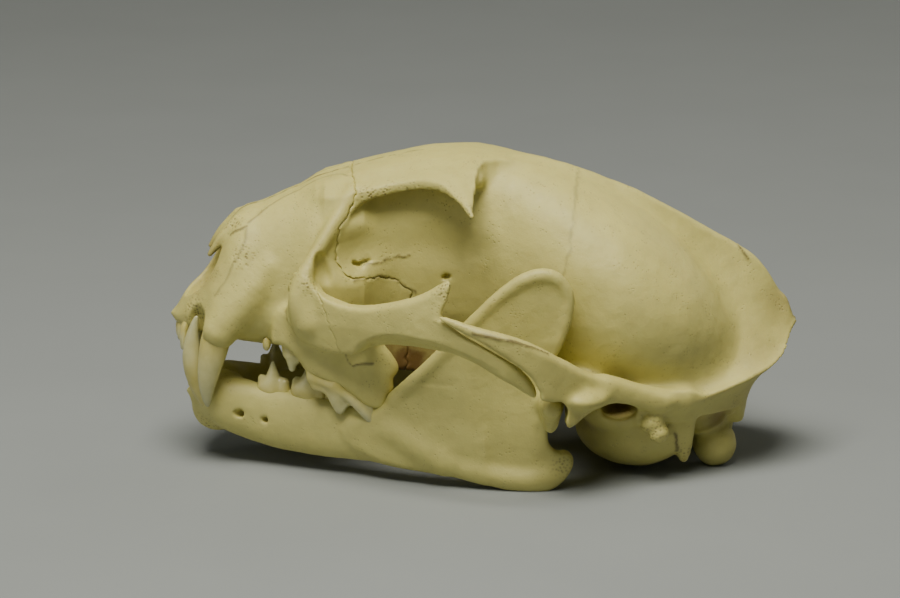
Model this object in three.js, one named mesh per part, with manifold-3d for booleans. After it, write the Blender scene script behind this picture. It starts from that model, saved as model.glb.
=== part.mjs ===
// Golden cat skull with its lower jaw closed, life size
// millimetres, +Z is up, the nose points to -X, the animal's left side faces -Y
import * as THREE from 'three';
import { SimplifyModifier } from 'three/addons/modifiers/SimplifyModifier.js';
import { mergeVertices } from 'three/addons/utils/BufferGeometryUtils.js';
import ManifoldModule from 'manifold-3d';

const wasm = await ManifoldModule();
wasm.setup();
const { Manifold, Mesh: ManifoldMesh } = wasm;

// Main sizes
const FINEST = 0.004;             // edges shorter than this are closed up
const SEAM = 0.3;                 // open seam between two bones
const COARSE = 0.92;              // spacing of the points the cranium is measured at
const FINE = 0.85;                // spacing for the jaw, cheekbone and ear capsule
const BACK = 74;                  // limits of the space the skull fills
const FRONT = -73;
const SIDE = 50;
const ROOF = 77;
const FLOOR = -3;
const RESTING_LEVEL = 0.35;       // height of the small flats the skull rests on
const CRANIUM_FACES = 5400;       // triangles left in each bone
const JAW_FACES = 900;
const CHEEK_FACES = 760;
const CAPSULE_FACES = 260;

// Height of the roof along the middle, front to back: x, z
const TOP = [
  [-69, 35.5], [-68, 37.2], [-65.2, 41.8], [-62.6, 45.4], [-60, 49.5], [-58, 54], [-56.1, 57.2],
  [-54.1, 58.9], [-50.3, 60], [-46.3, 61.6], [-41.7, 63.9], [-36.1, 65.9], [-30.4, 67.7], [-23.6, 69.6],
  [-16.8, 71.1], [-10, 71.9], [-3.2, 72.1], [1.4, 71.8], [5.9, 71.1], [12.7, 69.9], [19.5, 68.2],
  [26.3, 65.7], [33.1, 62.9], [39.9, 59.5], [46.7, 55.8], [51.3, 53], [56.9, 49.8], [60.8, 47.2],
  [63.7, 43.9], [66.7, 39.2], [69.2, 35.7], [70.1, 32.6],
];

// Muzzle sections: x, half width, top, bottom, height of the widest place, squareness
const MUZZLE = [
  [-69.6, 4.2, 35, 31.8, 33.5, 2.2], [-67.5, 7.4, 38.6, 30.8, 34.5, 2.2], [-64.5, 9.8, 42.6, 30, 36, 2.2],
  [-61, 12.6, 48.2, 29.6, 37, 2.1], [-56.3, 13.9, 56.6, 28.4, 37.5, 2.05], [-50, 14, 59.8, 27.3, 39, 2.05],
  [-44, 15.2, 62.4, 26.6, 41, 2.05], [-38, 17.6, 64.4, 25.5, 44, 2.05], [-32, 18, 65.4, 24.5, 46, 2.1],
  [-27, 15.5, 64.5, 24.5, 46, 2.1],
];

// Sections from the eye sockets through the braincase, same columns
const BRAINCASE = [
  [-38, 10.5, 64.6, 27, 46, 2.4], [-28, 10.8, 67.4, 25.5, 46, 2.4], [-17, 10.6, 70, 24.5, 46, 2.4],
  [-8, 11.8, 71.4, 23.5, 46, 2.3], [0, 14.2, 71.3, 21.5, 45.5, 2.2], [6, 17, 70.4, 19.5, 44, 2.15],
  [12, 20.7, 69, 17.6, 42.5, 2.1], [18, 24, 67.3, 16, 41, 2.1], [25, 26.2, 64.6, 15, 39.5, 2.1],
  [32, 27.2, 61, 14.5, 38, 2.1], [40, 26, 55.4, 14.5, 36, 2.05], [47, 22.4, 48.8, 15, 34, 2],
  [53, 15.6, 41, 16.5, 30.5, 2], [58, 6, 33, 20, 27, 2], [59.5, 2, 29, 23, 26.5, 2],
];

// Edge of the crest across the back of the skull: distance out, x, z
const NUCHAL_EDGE = [
  [0, 70.1, 32.6], [5, 69.4, 29.6], [9, 68, 26.8], [13, 65, 24.6], [16.5, 60.8, 23], [19.5, 56.2, 21.6],
  [22, 51.6, 20.4], [24, 46, 19.2], [25.6, 40.3, 18.4], [26.5, 34, 18],
];

// Half width of the brow over the eye sockets: x, distance out
const BROW = [
  [-38, 10], [-34, 12], [-29.5, 12.6], [-24, 12.9], [-18.7, 13.1], [-14.5, 14.3], [-11.5, 16.2], [-9, 18.8],
  [-6.8, 22.4], [-4.9, 26], [-3.3, 27.6], [-2.7, 25], [-2.2, 19], [-1.7, 13.5], [-0.6, 9.5], [2, 6.5],
  [6, 4], [11, 2.4], [18, 1.5],
];

// How fast the brow falls away from the middle: x, drop for each square millimetre out
const BROW_FALL = [
  [-38, 0.022], [-24, 0.0205], [-18.7, 0.02], [-12, 0.0136], [-8.6, 0.0116], [-5, 0.0114], [-3, 0.0113],
  [18, 0.0125],
];

// Cheekbone seen from the side: x, z
const CHEEK_OUTLINE = [
  [-43, 38], [-42, 43], [-40.2, 46.6], [-38, 45.4], [-35, 43.4], [-29.5, 42.5], [-25.3, 43], [-20, 44.8],
  [-14, 47.5], [-8.1, 51], [-8.4, 47], [-9.6, 43.3], [-5.5, 39.9], [-0.7, 37.5], [4.6, 34.2],
  [9.1, 30.4], [11.2, 26.6], [10.4, 25], [6, 28.4], [0.5, 31.6], [-4.5, 33.6], [-9.7, 34.4], [-18.5, 34.2],
  [-24.2, 33.2], [-29.3, 31.4], [-35, 31], [-41, 33],
];
const CHEEK_OUT = [
  [-43, 18.5], [-38, 21.2], [-34, 24.2], [-29, 27.8], [-24, 31.4], [-18.5, 35], [-10, 39.4], [-1, 42.8],
  [5, 43.8], [11, 42.4], [18, 39.5],
];
const CHEEK_HALF = [
  [-43, 3.2], [-36, 3], [-29, 2.3], [-18, 1.8], [-8, 1.5], [4, 1.4], [11.2, 1.1],
];

// Rear half of the cheek arch, part of the temporal bone: x, z
const ARCH_OUTLINE = [
  [-10.4, 43.4], [-8, 43.6], [-3.4, 42.3], [2.6, 40.8], [7.8, 38.9], [12.5, 36.2], [16.7, 33.2], [21, 29.8],
  [25.6, 27], [30, 24.9], [34.6, 22.8], [40, 20.6], [39, 18.6], [34, 20.2], [29, 21.4], [25, 21],
  [21.6, 18.8], [19.2, 17.4], [17.9, 18], [17.2, 21.4], [14.6, 24.2], [12.2, 25.2], [11.9, 27.2], [9.6, 31],
  [5, 34.8], [-0.4, 38.1], [-5.2, 40.5],
];
const ARCH_OUT = [
  [-10.4, 41.6], [-5, 43], [0, 43.9], [5, 44], [10, 43], [13.5, 41.4], [17, 38.6], [21, 35], [25.6, 31.4],
  [30, 28.8], [35, 27], [40, 25.6],
];
const ARCH_HALF = [
  [-10.4, 0.8], [-4, 1.4], [6, 1.8], [12, 2.2], [20, 2.4], [30, 1.8], [40, 1.4],
];

// Side wall of the upper jaw over the cheek teeth: x, z
const TOOTH_WALL = [
  [-48, 31], [-45.4, 30], [-42.8, 28.2], [-41.3, 26.4], [-40.2, 24.8], [-38.4, 23.8], [-32.6, 22],
  [-30.2, 20.4], [-28, 18.5], [-25.8, 17.3], [-24.2, 17], [-22.4, 17.4], [-21.7, 19.2], [-20.5, 21.4],
  [-20.5, 23.8], [-19.4, 25.6], [-19.8, 27.6], [-21.6, 30.5], [-25, 34], [-32, 38], [-40, 40], [-46, 38],
];

// Rising rear part of the lower jaw: x, z
const RAMUS = [
  [-31, 11], [-24, 15.4], [-19, 21], [-17, 24], [-13, 27.4], [-10, 31], [-2.7, 39.1], [3.6, 46], [9, 50],
  [13.5, 51], [17, 49.6], [19.4, 45.5], [19, 40], [16.5, 33], [13.8, 27], [13.2, 22.5], [14.2, 18.4],
  [13.9, 13.9], [14.4, 10.8], [16.2, 9], [18.2, 8.8], [19.5, 6.9], [18.6, 4], [15.8, 1.3], [12.4, 0.1],
  [8, 0.2], [2.7, 1.2], [-3, 2.9], [-8, 4.2], [-16, 4.5], [-24, 6],
];

// Tooth-bearing part of the lower jaw, same columns as the muzzle
const JAW_BODY = [
  [-65.6, 2.5, 18.5, 13.5, 16, 2.2], [-63.5, 4.2, 19.8, 11, 15, 2.3], [-60, 5, 20.4, 8.4, 14, 2.4],
  [-55, 4.5, 19.9, 6.4, 13, 2.4], [-50, 3.9, 18.8, 5.1, 12, 2.4], [-42, 3.7, 18.1, 4, 11, 2.4],
  [-34, 3.7, 17.4, 3.8, 11, 2.4], [-26, 3.4, 17.8, 4, 11, 2.3], [-18, 3, 19, 4.2, 11, 2.2],
  [-10, 2.4, 18, 4.2, 10, 2.1], [-4, 1.8, 15, 4, 9, 2], [0, 1.2, 12, 5, 8.5, 2],
];
const JAW_OUT = [
  [-65.6, 3], [-63.5, 4.3], [-60, 5.6], [-55, 6.8], [-50, 8.6], [-42, 11.8], [-34, 15], [-26, 18.6],
  [-18, 22.2], [-10, 25.4], [-4, 27], [0, 27.8],
];

// Smooth curve through one column of a table, as a function of its first column
function curveOf(rows, column = 1) {
  const n = rows.length;
  const t = rows.map((r) => r[0]);
  const v = rows.map((r) => r[column]);
  const slope = t.map((_, i) => {
    if (i === 0) {
      return (v[1] - v[0]) / (t[1] - t[0]);
    }
    if (i === n - 1) {
      return (v[n - 1] - v[n - 2]) / (t[n - 1] - t[n - 2]);
    }
    const a = t[i] - t[i - 1];
    const b = t[i + 1] - t[i];
    return (a * a * v[i + 1] - b * b * v[i - 1] + (b * b - a * a) * v[i]) / (a * b * (a + b));
  });
  return (x) => {
    if (x <= t[0]) {
      return v[0];
    }
    if (x >= t[n - 1]) {
      return v[n - 1];
    }
    let i = 0;
    while (x > t[i + 1]) {
      i += 1;
    }
    const h = t[i + 1] - t[i];
    const u = (x - t[i]) / h;
    const w = 1 - u;
    return (1 + 2 * u) * w * w * v[i] + u * w * w * h * slope[i]
      + u * u * (3 - 2 * u) * v[i + 1] - u * u * w * h * slope[i + 1];
  };
}

// Rounded joining and cutting of two distances
function joined(a, b, k) {
  const h = Math.min(Math.max(0.5 + 0.5 * (b - a) / k, 0), 1);
  return b + (a - b) * h - k * h * (1 - h);
}

function trimmed(a, b, k) {
  return -joined(-a, -b, k);
}

// Egg shape with an optional turn in degrees about one axis
function egg(centre, radii, axis = '', degrees = 0) {
  const r = Array.isArray(radii) ? radii : [radii, radii, radii];
  const pair = { x: [1, 2], l: [2, 0], z: [0, 1] }[axis];
  const c = Math.cos((degrees * Math.PI) / 180);
  const s = Math.sin((degrees * Math.PI) / 180);
  const reach = pair ? [0, 1, 2].map(() => Math.max(...r)) : r;
  return {
    low: centre.map((v, i) => v - reach[i]),
    high: centre.map((v, i) => v + reach[i]),
    distance: (x, l, z) => {
      const p = [x - centre[0], l - centre[1], z - centre[2]];
      if (pair) {
        const [i, j] = pair;
        const a = p[i];
        const b = p[j];
        p[i] = c * a + s * b;
        p[j] = -s * a + c * b;
      }
      const k0 = Math.hypot(p[0] / r[0], p[1] / r[1], p[2] / r[2]);
      const k1 = Math.hypot(p[0] / (r[0] * r[0]), p[1] / (r[1] * r[1]), p[2] / (r[2] * r[2]));
      return (k0 * (k0 - 1)) / (k1 + 1e-6);
    },
  };
}

// Round cones end to end through points of x, distance out, z and radius
function rod(points) {
  const radius = Math.max(...points.map((p) => p[3]));
  return {
    low: [0, 1, 2].map((i) => Math.min(...points.map((p) => p[i])) - radius),
    high: [0, 1, 2].map((i) => Math.max(...points.map((p) => p[i])) + radius),
    distance: (x, l, z) => {
      let best = 1e9;
      for (let i = 1; i < points.length; i += 1) {
        const a = points[i - 1];
        const b = points[i];
        const v = [b[0] - a[0], b[1] - a[1], b[2] - a[2]];
        const w = [x - a[0], l - a[1], z - a[2]];
        const along = (w[0] * v[0] + w[1] * v[1] + w[2] * v[2]) / (v[0] * v[0] + v[1] * v[1] + v[2] * v[2]);
        const t = Math.min(Math.max(along, 0), 1);
        const away = Math.hypot(w[0] - t * v[0], w[1] - t * v[1], w[2] - t * v[2]);
        best = Math.min(best, away - a[3] - t * (b[3] - a[3]));
      }
      return best;
    },
  };
}

// Points along a smooth curve through the given ones
function eased(points, steps = 5, loop = false) {
  const n = points.length;
  const at = (i) => {
    if (loop) {
      return points[(i + n) % n];
    }
    if (i < 0) {
      return points[0].map((v, k) => 2 * v - points[1][k]);
    }
    if (i >= n) {
      return points[n - 1].map((v, k) => 2 * v - points[n - 2][k]);
    }
    return points[i];
  };
  const out = [];
  for (let i = 0; i < (loop ? n : n - 1); i += 1) {
    const [a, b, c, d] = [at(i - 1), at(i), at(i + 1), at(i + 2)];
    for (let j = 0; j < steps; j += 1) {
      const t = j / steps;
      out.push(b.map((_, k) => 0.5 * (2 * b[k] + (c[k] - a[k]) * t
        + (2 * a[k] - 5 * b[k] + 4 * c[k] - d[k]) * t * t
        + (3 * b[k] - a[k] - 3 * c[k] + d[k]) * t * t * t)));
    }
  }
  if (!loop) {
    out.push(points[n - 1]);
  }
  return out;
}

// Body swept through sections, each an oval with its own squareness
function sections(rows, outRows) {
  const [width, top, bottom, middle, square] = [1, 2, 3, 4, 5].map((c) => curveOf(rows, c));
  const out = outRows ? curveOf(outRows) : () => 0;
  const first = rows[0][0];
  const last = rows[rows.length - 1][0];
  const reach = Math.max(...rows.map((r) => r[1]));
  const outs = outRows ? outRows.map((r) => r[1]) : [0];
  return {
    low: [first, Math.min(...outs) - reach, Math.min(...rows.map((r) => r[3]))],
    high: [last, Math.max(...outs) + reach, Math.max(...rows.map((r) => r[2]))],
    distance: (x, l, z) => {
      const q = Math.min(Math.max(x, first), last);
      const w = Math.max(width(q), 0.2);
      const m = middle(q);
      const p = square(q);
      const h = Math.max(z > m ? top(q) - m : m - bottom(q), 0.2);
      const k = (Math.abs((l - out(q)) / w) ** p + Math.abs((z - m) / h) ** p) ** (1 / p);
      return (k - 1) * Math.min(w, h) * 0.9 + Math.abs(x - q);
    },
  };
}

// Distance to a closed outline in the side view, less than zero inside it
function outlineDistance(loop, x, z) {
  let best = 1e9;
  let inside = false;
  for (let i = 0, j = loop.length - 1; i < loop.length; j = i, i += 1) {
    const [ax, az] = loop[i];
    const [bx, bz] = loop[j];
    const vx = bx - ax;
    const vz = bz - az;
    const t = Math.min(Math.max(((x - ax) * vx + (z - az) * vz) / (vx * vx + vz * vz + 1e-9), 0), 1);
    best = Math.min(best, Math.hypot(x - ax - t * vx, z - az - t * vz));
    if ((az > z) !== (bz > z) && x < ax + ((z - az) * vx) / vz) {
      inside = !inside;
    }
  }
  return inside ? -best : best;
}

// Plate of bone with an outline in the side view, set out from the middle and given half a thickness
function plate(outline, outRows, halfRows, rounding = 1.2, bow = () => 0) {
  const loop = eased(outline, 4, true);
  const out = curveOf(outRows);
  const half = curveOf(halfRows);
  const reach = Math.max(...halfRows.map((r) => r[1])) + 5;
  const xs = loop.map((p) => p[0]);
  const zs = loop.map((p) => p[1]);
  return {
    low: [Math.min(...xs), Math.min(...outRows.map((r) => r[1])) - reach, Math.min(...zs)],
    high: [Math.max(...xs), Math.max(...outRows.map((r) => r[1])) + reach, Math.max(...zs)],
    distance: (x, l, z) => {
      const across = Math.abs(l - out(x) - bow(x, z)) - half(x);
      if (across > 4) {
        return across;
      }
      return trimmed(outlineDistance(loop, x, z), across, rounding);
    },
  };
}

// Half a block of bone as distances on a grid, out from the middle
class Block {
  constructor(low, high, step) {
    this.step = step;
    this.low = low;
    this.count = low.map((v, i) => Math.ceil((high[i] - v) / step) + 1);
    this.value = new Float64Array(this.count[0] * this.count[1] * this.count[2]).fill(8);
  }

  change(shape, reach, rule) {
    const from = [0, 1, 2].map((i) => Math.max(0, Math.floor((shape.low[i] - reach - this.low[i]) / this.step)));
    const to = [0, 1, 2].map((i) => {
      const last = Math.ceil((shape.high[i] + reach - this.low[i]) / this.step);
      return Math.min(this.count[i] - 1, last);
    });
    for (let i = from[0]; i <= to[0]; i += 1) {
      for (let j = from[1]; j <= to[1]; j += 1) {
        for (let k = from[2]; k <= to[2]; k += 1) {
          const at = (i * this.count[1] + j) * this.count[2] + k;
          const d = shape.distance(
            this.low[0] + i * this.step,
            this.low[1] + j * this.step,
            this.low[2] + k * this.step,
          );
          this.value[at] = rule(this.value[at], d);
        }
      }
    }
  }

  add(shape, k = 1) {
    this.change(shape, 2 * k + 1, (a, d) => joined(a, d, k));
  }

  carve(shape, k = 1) {
    this.change(shape, 2 * k + 1, (a, d) => trimmed(a, -d, k));
  }

  read(x, l, z) {
    const p = [x, l, z].map((v, i) => Math.min(Math.max((v - this.low[i]) / this.step, 0), this.count[i] - 1.001));
    const f = p.map((v) => Math.floor(v));
    const u = p.map((v, i) => v - f[i]);
    let sum = 0;
    for (let c = 0; c < 8; c += 1) {
      const o = [c & 1, (c >> 1) & 1, (c >> 2) & 1];
      const at = ((f[0] + o[0]) * this.count[1] + f[1] + o[1]) * this.count[2] + f[2] + o[2];
      sum += this.value[at] * o.reduce((w, b, i) => w * (b ? u[i] : 1 - u[i]), 1);
    }
    return sum;
  }
}

// Closed skin of a block, each cell cut into six tetrahedra; a mirrored block covers both sides
function skin(block, mirrored) {
  const [nx, nl, nz] = block.count;
  const ny = mirrored ? 2 * nl - 1 : nl;
  const y0 = mirrored ? -(nl - 1) * block.step : block.low[1];
  const value = (i, j, k) => {
    if (i === 0 || k === 0 || i === nx - 1 || k === nz - 1 || j === ny - 1 || j === 0) {
      return 4;
    }
    const l = mirrored ? Math.abs(j - nl + 1) : j;
    const v = block.value[(i * nl + l) * nz + k];
    return Math.abs(v) < 0.02 ? 0.02 * (v < 0 ? -1 : 1) : v;
  };
  const points = [];
  const faces = [];
  const seen = new Map();
  const corner = (i, j, k) => (i * ny + j) * nz + k;
  const crossing = (a, b) => {
    const key = a.id < b.id ? a.id * 1e8 + b.id : b.id * 1e8 + a.id;
    if (!seen.has(key)) {
      const t = a.v / (a.v - b.v);
      seen.set(key, points.length / 3);
      points.push(...[0, 1, 2].map((c) => a.p[c] + t * (b.p[c] - a.p[c])));
    }
    return seen.get(key);
  };
  const paths = [[1, 3], [1, 5], [2, 3], [2, 6], [4, 5], [4, 6]];
  for (let i = 0; i < nx - 1; i += 1) {
    for (let j = 0; j < ny - 1; j += 1) {
      for (let k = 0; k < nz - 1; k += 1) {
        let below = 0;
        const cell = [];
        for (let c = 0; c < 8; c += 1) {
          const [a, b, d] = [i + (c & 1), j + ((c >> 1) & 1), k + ((c >> 2) & 1)];
          const v = value(a, b, d);
          below += v < 0 ? 1 : 0;
          cell.push({
            v,
            id: corner(a, b, d),
            p: [block.low[0] + a * block.step, y0 + b * block.step, block.low[2] + d * block.step],
          });
        }
        if (below === 0 || below === 8) {
          continue;
        }
        for (const [m, n] of paths) {
          const four = [cell[0], cell[m], cell[n], cell[7]];
          const inner = four.filter((q) => q.v < 0);
          const outer = four.filter((q) => q.v >= 0);
          if (inner.length === 0 || outer.length === 0) {
            continue;
          }
          let ring;
          if (inner.length === 2) {
            ring = [
              crossing(inner[0], outer[0]), crossing(inner[0], outer[1]),
              crossing(inner[1], outer[1]), crossing(inner[1], outer[0]),
            ];
          } else {
            const lone = inner.length === 1 ? inner[0] : outer[0];
            ring = four.filter((q) => q !== lone).map((q) => crossing(lone, q));
          }
          const [a, b, c] = ring.slice(0, 3).map((q) => new THREE.Vector3(...points.slice(3 * q, 3 * q + 3)));
          const normal = b.clone().sub(a).cross(c.clone().sub(a));
          const way = new THREE.Vector3();
          outer.forEach((q) => way.add(new THREE.Vector3(...q.p).divideScalar(outer.length)));
          inner.forEach((q) => way.sub(new THREE.Vector3(...q.p).divideScalar(inner.length)));
          if (normal.dot(way) < 0) {
            ring.reverse();
          }
          faces.push(ring[0], ring[1], ring[2]);
          if (ring.length === 4) {
            faces.push(ring[0], ring[2], ring[3]);
          }
        }
      }
    }
  }
  const geometry = new THREE.BufferGeometry();
  geometry.setAttribute('position', new THREE.Float32BufferAttribute(points, 3));
  geometry.setIndex(faces);
  return geometry;
}

// Fewer, larger faces where the bone is nearly flat
async function thinned(geometry, faces) {
  const remove = Math.max(0, Math.round((geometry.index.count / 3 - faces) / 2));
  const lighter = await new SimplifyModifier().modify(geometry, remove);
  lighter.deleteAttribute('normal');
  return mergeVertices(lighter, 1e-4);
}

function solidOf(geometry) {
  const mesh = new ManifoldMesh({
    numProp: 3,
    vertProperties: Float32Array.from(geometry.attributes.position.array),
    triVerts: Uint32Array.from(geometry.index.array),
    tolerance: FINEST,
  });
  return new Manifold(mesh);
}

function geometryOf(solid) {
  const mesh = solid.getMesh();
  const geometry = new THREE.BufferGeometry();
  const position = new Float32Array(mesh.numVert * 3);
  for (let i = 0; i < mesh.numVert; i += 1) {
    for (let c = 0; c < 3; c += 1) {
      position[3 * i + c] = mesh.vertProperties[i * mesh.numProp + c];
    }
  }
  geometry.setAttribute('position', new THREE.BufferAttribute(position, 3));
  geometry.setIndex(Array.from(mesh.triVerts));
  geometry.computeVertexNormals();
  return geometry;
}

// Closed solid from a list of rings of equal length, ends closed by a fan
function ringed(rings) {
  const n = rings[0].length;
  const points = rings.flat(2);
  const faces = [];
  for (let i = 1; i < rings.length; i += 1) {
    for (let j = 0; j < n; j += 1) {
      const [a, b] = [(i - 1) * n + j, (i - 1) * n + ((j + 1) % n)];
      faces.push(a, b, b + n, a, b + n, a + n);
    }
  }
  const last = (rings.length - 1) * n;
  for (let j = 1; j < n - 1; j += 1) {
    faces.push(0, j + 1, j, last, last + j, last + j + 1);
  }
  const geometry = new THREE.BufferGeometry();
  geometry.setAttribute('position', new THREE.Float32BufferAttribute(points, 3));
  geometry.setIndex(faces);
  const solid = solidOf(geometry);
  if (solid.volume() < 0) {
    geometry.setIndex(faces.reverse());
    return solidOf(geometry);
  }
  return solid;
}

// Tooth cone along points of x, distance out, z and radius; flat is its width over its length
function cone(points, sides = 8, flat = 1) {
  const line = points.map((p) => new THREE.Vector3(p[0], -p[1], p[2]));
  const rings = line.map((centre, i) => {
    const along = line[Math.min(i + 1, line.length - 1)].clone().sub(line[Math.max(i - 1, 0)]).normalize();
    const wide = new THREE.Vector3(1, 0, 0).cross(along).normalize();
    const long = along.clone().cross(wide).normalize();
    return Array.from({ length: sides }, (_, j) => {
      const a = (2 * Math.PI * (j + 0.5)) / sides;
      const p = centre.clone();
      p.addScaledVector(long, points[i][3] * Math.cos(a));
      p.addScaledVector(wide, points[i][3] * flat * Math.sin(a));
      return p.toArray();
    });
  });
  return ringed(rings);
}

// Blade of a tooth: an outline in the side view with an outer and an inner distance out
function blade(outline, outRows, half) {
  const out = curveOf(outRows);
  const rings = [-1, 1].map((side) => outline.map(([x, z]) => [x, -out(x) + side * half(z), z]));
  return ringed(rings);
}

// Wall a seam wide along a path in the side view, between two distances from the middle
function seamWall(path, nearY, farY, width = SEAM) {
  const shape = [];
  const back = [];
  path.forEach((p, i) => {
    const a = path[Math.max(i - 1, 0)];
    const b = path[Math.min(i + 1, path.length - 1)];
    const size = Math.hypot(b[0] - a[0], b[1] - a[1]);
    const side = [-(b[1] - a[1]) / size, (b[0] - a[0]) / size];
    shape.push([p[0] + (side[0] * width) / 2, p[1] + (side[1] * width) / 2]);
    back.unshift([p[0] - (side[0] * width) / 2, p[1] - (side[1] * width) / 2]);
  });
  const outline = new THREE.Shape(shape.concat(back).map((p) => new THREE.Vector2(p[0], p[1])));
  const wall = new THREE.ExtrudeGeometry(outline, { depth: farY - nearY, bevelEnabled: false, steps: 1 });
  wall.rotateX(Math.PI / 2);
  wall.translate(0, farY, 0);
  wall.deleteAttribute('uv');
  wall.deleteAttribute('normal');
  return solidOf(mergeVertices(wall, 1e-5));
}

function box(low, high) {
  const geometry = new THREE.BoxGeometry(high[0] - low[0], high[1] - low[1], high[2] - low[2]);
  geometry.translate((high[0] + low[0]) / 2, (high[1] + low[1]) / 2, (high[2] + low[2]) / 2);
  geometry.deleteAttribute('uv');
  geometry.deleteAttribute('normal');
  return solidOf(mergeVertices(geometry, 1e-5));
}

// Largest piece of a cut solid
function largest(solid) {
  return solid.decompose().sort((a, b) => b.volume() - a.volume())[0];
}

// Cranium without the cheekbones and ear capsules
const topOf = curveOf(TOP);
const browOf = curveOf(BROW);
const fallOf = curveOf(BROW_FALL);
const edgeX = curveOf(NUCHAL_EDGE, 1);
const edgeZ = curveOf(NUCHAL_EDGE, 2);
const edgeOut = curveOf(NUCHAL_EDGE.map((r) => [r[1], r[0]]).reverse());
const backFace = (l, z) => edgeX(l) - 11 * (1 - Math.exp(-Math.max(edgeZ(l) - z, 0) / 7));

const cranium = new Block([FRONT, 0, FLOOR], [BACK, SIDE, ROOF], COARSE);
cranium.add(sections(BRAINCASE), 1);
cranium.add(sections(MUZZLE), 4);

// Brow plate over the eye sockets
cranium.add({
  low: [-38, 0, 52],
  high: [16, 28, 75],
  distance: (x, l, z) => {
    const roof = topOf(x) - 0.35 - fallOf(x) * l * l;
    const thick = 3.6 - 2.0 * Math.min(l / 24, 1);
    const slab = trimmed(trimmed(z - roof, roof - thick - z, 0.8), l - browOf(x), 0.8);
    return slab * 0.85 + Math.max(x - 14, 0) + Math.max(-36 - x, 0);
  },
}, 2.5);

// Rear of the braincase up to the crests
cranium.add({
  low: [30, 0, 12],
  high: [72, 28, 66],
  distance: (x, l, z) => {
    const xe = Math.min(Math.max(x, 34), 70);
    const t = Math.min(Math.max(l / Math.max(edgeOut(xe), 1), 0), 1);
    const low = edgeZ(edgeOut(xe)) + 0.6;
    const flank = low + (topOf(xe) - low) * (1 - t) ** 1.6;
    const body = trimmed((z - flank) * 0.55, (x - backFace(l, z)) * 0.6, 1.2);
    return trimmed(body, Math.max(14.5 - z, l - 27, 34 - x), 1);
  },
}, 8);
cranium.add({
  low: [8, 0, 20],
  high: [70, 8, 73],
  distance: (x, l, z) => {
    const half = 0.8 + 0.14 * Math.max(topOf(x) - z, 0);
    return Math.max(trimmed(z - topOf(x), l - half, 0.8), 20 - z, 8 - x, x - backFace(l, z)) * 0.9;
  },
}, 2.5);

// Upper jaw: tooth wall and root of the canine
const wallHalf = [[-47, 2.5], [-36, 2.6], [-28, 2.0], [-19, 1.5]];
const wallOut = [[-47, 13.5], [-42, 15.6], [-36, 18.2], [-30, 20.0], [-24, 20.8], [-19, 19.9]];
cranium.add(plate(TOOTH_WALL, wallOut, wallHalf, 1.6), 2.2);
cranium.add(rod(eased([
  [-48.5, 11.5, 47.0, 2.0], [-52.5, 12.2, 41.5, 3.2], [-57.0, 12.2, 36.0, 4.0], [-59.6, 12.2, 32.6, 4.2],
])), 2.5);

// Eye socket with the rim in front of it, and the pointed process behind it
const cheekShape = plate(CHEEK_OUTLINE, CHEEK_OUT, CHEEK_HALF, 1.3, (x, z) => {
  const ledge = Math.min(Math.max((x + 33) / 6, 0), 1) * Math.min(Math.max((4 - x) / 12, 0), 1);
  return -0.012 * Math.max(z - 39.5, 0) ** 2 - (0.15 + 0.8 * ledge) * Math.max(37.9 - z, 0);
});
cranium.carve(egg([-15.6, 27.5, 52.6], [24.6, 17.2, 13.6]), 1.4);
cranium.carve(egg([-17.5, 22.5, 58.2], [14.5, 12, 8.8]), 1);
cranium.add(rod(eased([
  [-29.0, 10.5, 64.4, 1.0], [-31.6, 13.2, 61.0, 1.1], [-34.9, 16.0, 56.6, 1.2], [-38.0, 18.4, 51.4, 1.5],
  [-40.4, 20.2, 46.8, 2.1], [-41.2, 20.9, 42.0, 2.8], [-39.6, 21.6, 37.0, 3.0],
])), 2.4);
cranium.add({
  ...cheekShape,
  distance: (x, l, z) => Math.max(cheekShape.distance(x, l, z), x + 16),
}, 2.2);
cranium.add(rod(eased([
  [-7.0, 14.5, 67.2, 1.6], [-5.0, 20.0, 65.9, 1.4], [-4.0, 24.6, 64.1, 1.2], [-3.1, 27.0, 62.5, 0.9],
])), 1.4);

// Canal under the eye socket, groove for the lower canine and opening of the nose
cranium.carve(egg([-46.9, 19.6, 41.4], [3.3, 2.9, 5.0], 'l', 14), 0.5);
cranium.carve(rod([[-47.5, 17.9, 39.0, 1.5], [-43.5, 17.9, 40.0, 1.7], [-38.5, 18.4, 42.0, 1.5]]), 0.8);
cranium.carve(egg([-65, 10.8, 33.2], [2.4, 3.4, 4.6]), 0.8);
cranium.carve(egg([-61, 0, 43.5], [12, 7.6, 8.6], 'l', 38), 1);

// Around the ear, the spines beside it and the two knobs that meet the neck
cranium.add(egg([30.5, 19.5, 16.5], [9, 6, 5.6]), 2);
cranium.add(egg([37.9, 24.6, 13.7], [2.9, 3.1, 3.1]), 0.9);
cranium.add(rod([[33.6, 22.6, 18.0, 1.3], [37.6, 24.4, 15.6, 1.7]]), 1.2);
cranium.add(rod(eased([
  [45.6, 20.4, 19.0, 2.0], [45.5, 19.4, 12.5, 1.9], [45.1, 18.2, 7.6, 1.7], [44.8, 17.4, 4.4, 1.2],
])), 1.2);
cranium.add(egg([51.5, 8.8, 7.2], [6, 5.2, 7.5], 'l', -15), 2);
cranium.add(egg([48, 6, 14], [7, 8, 5]), 3);
cranium.carve(egg([56, 0, 11.5], [9, 7, 5.6], 'l', -20), 1);

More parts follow.
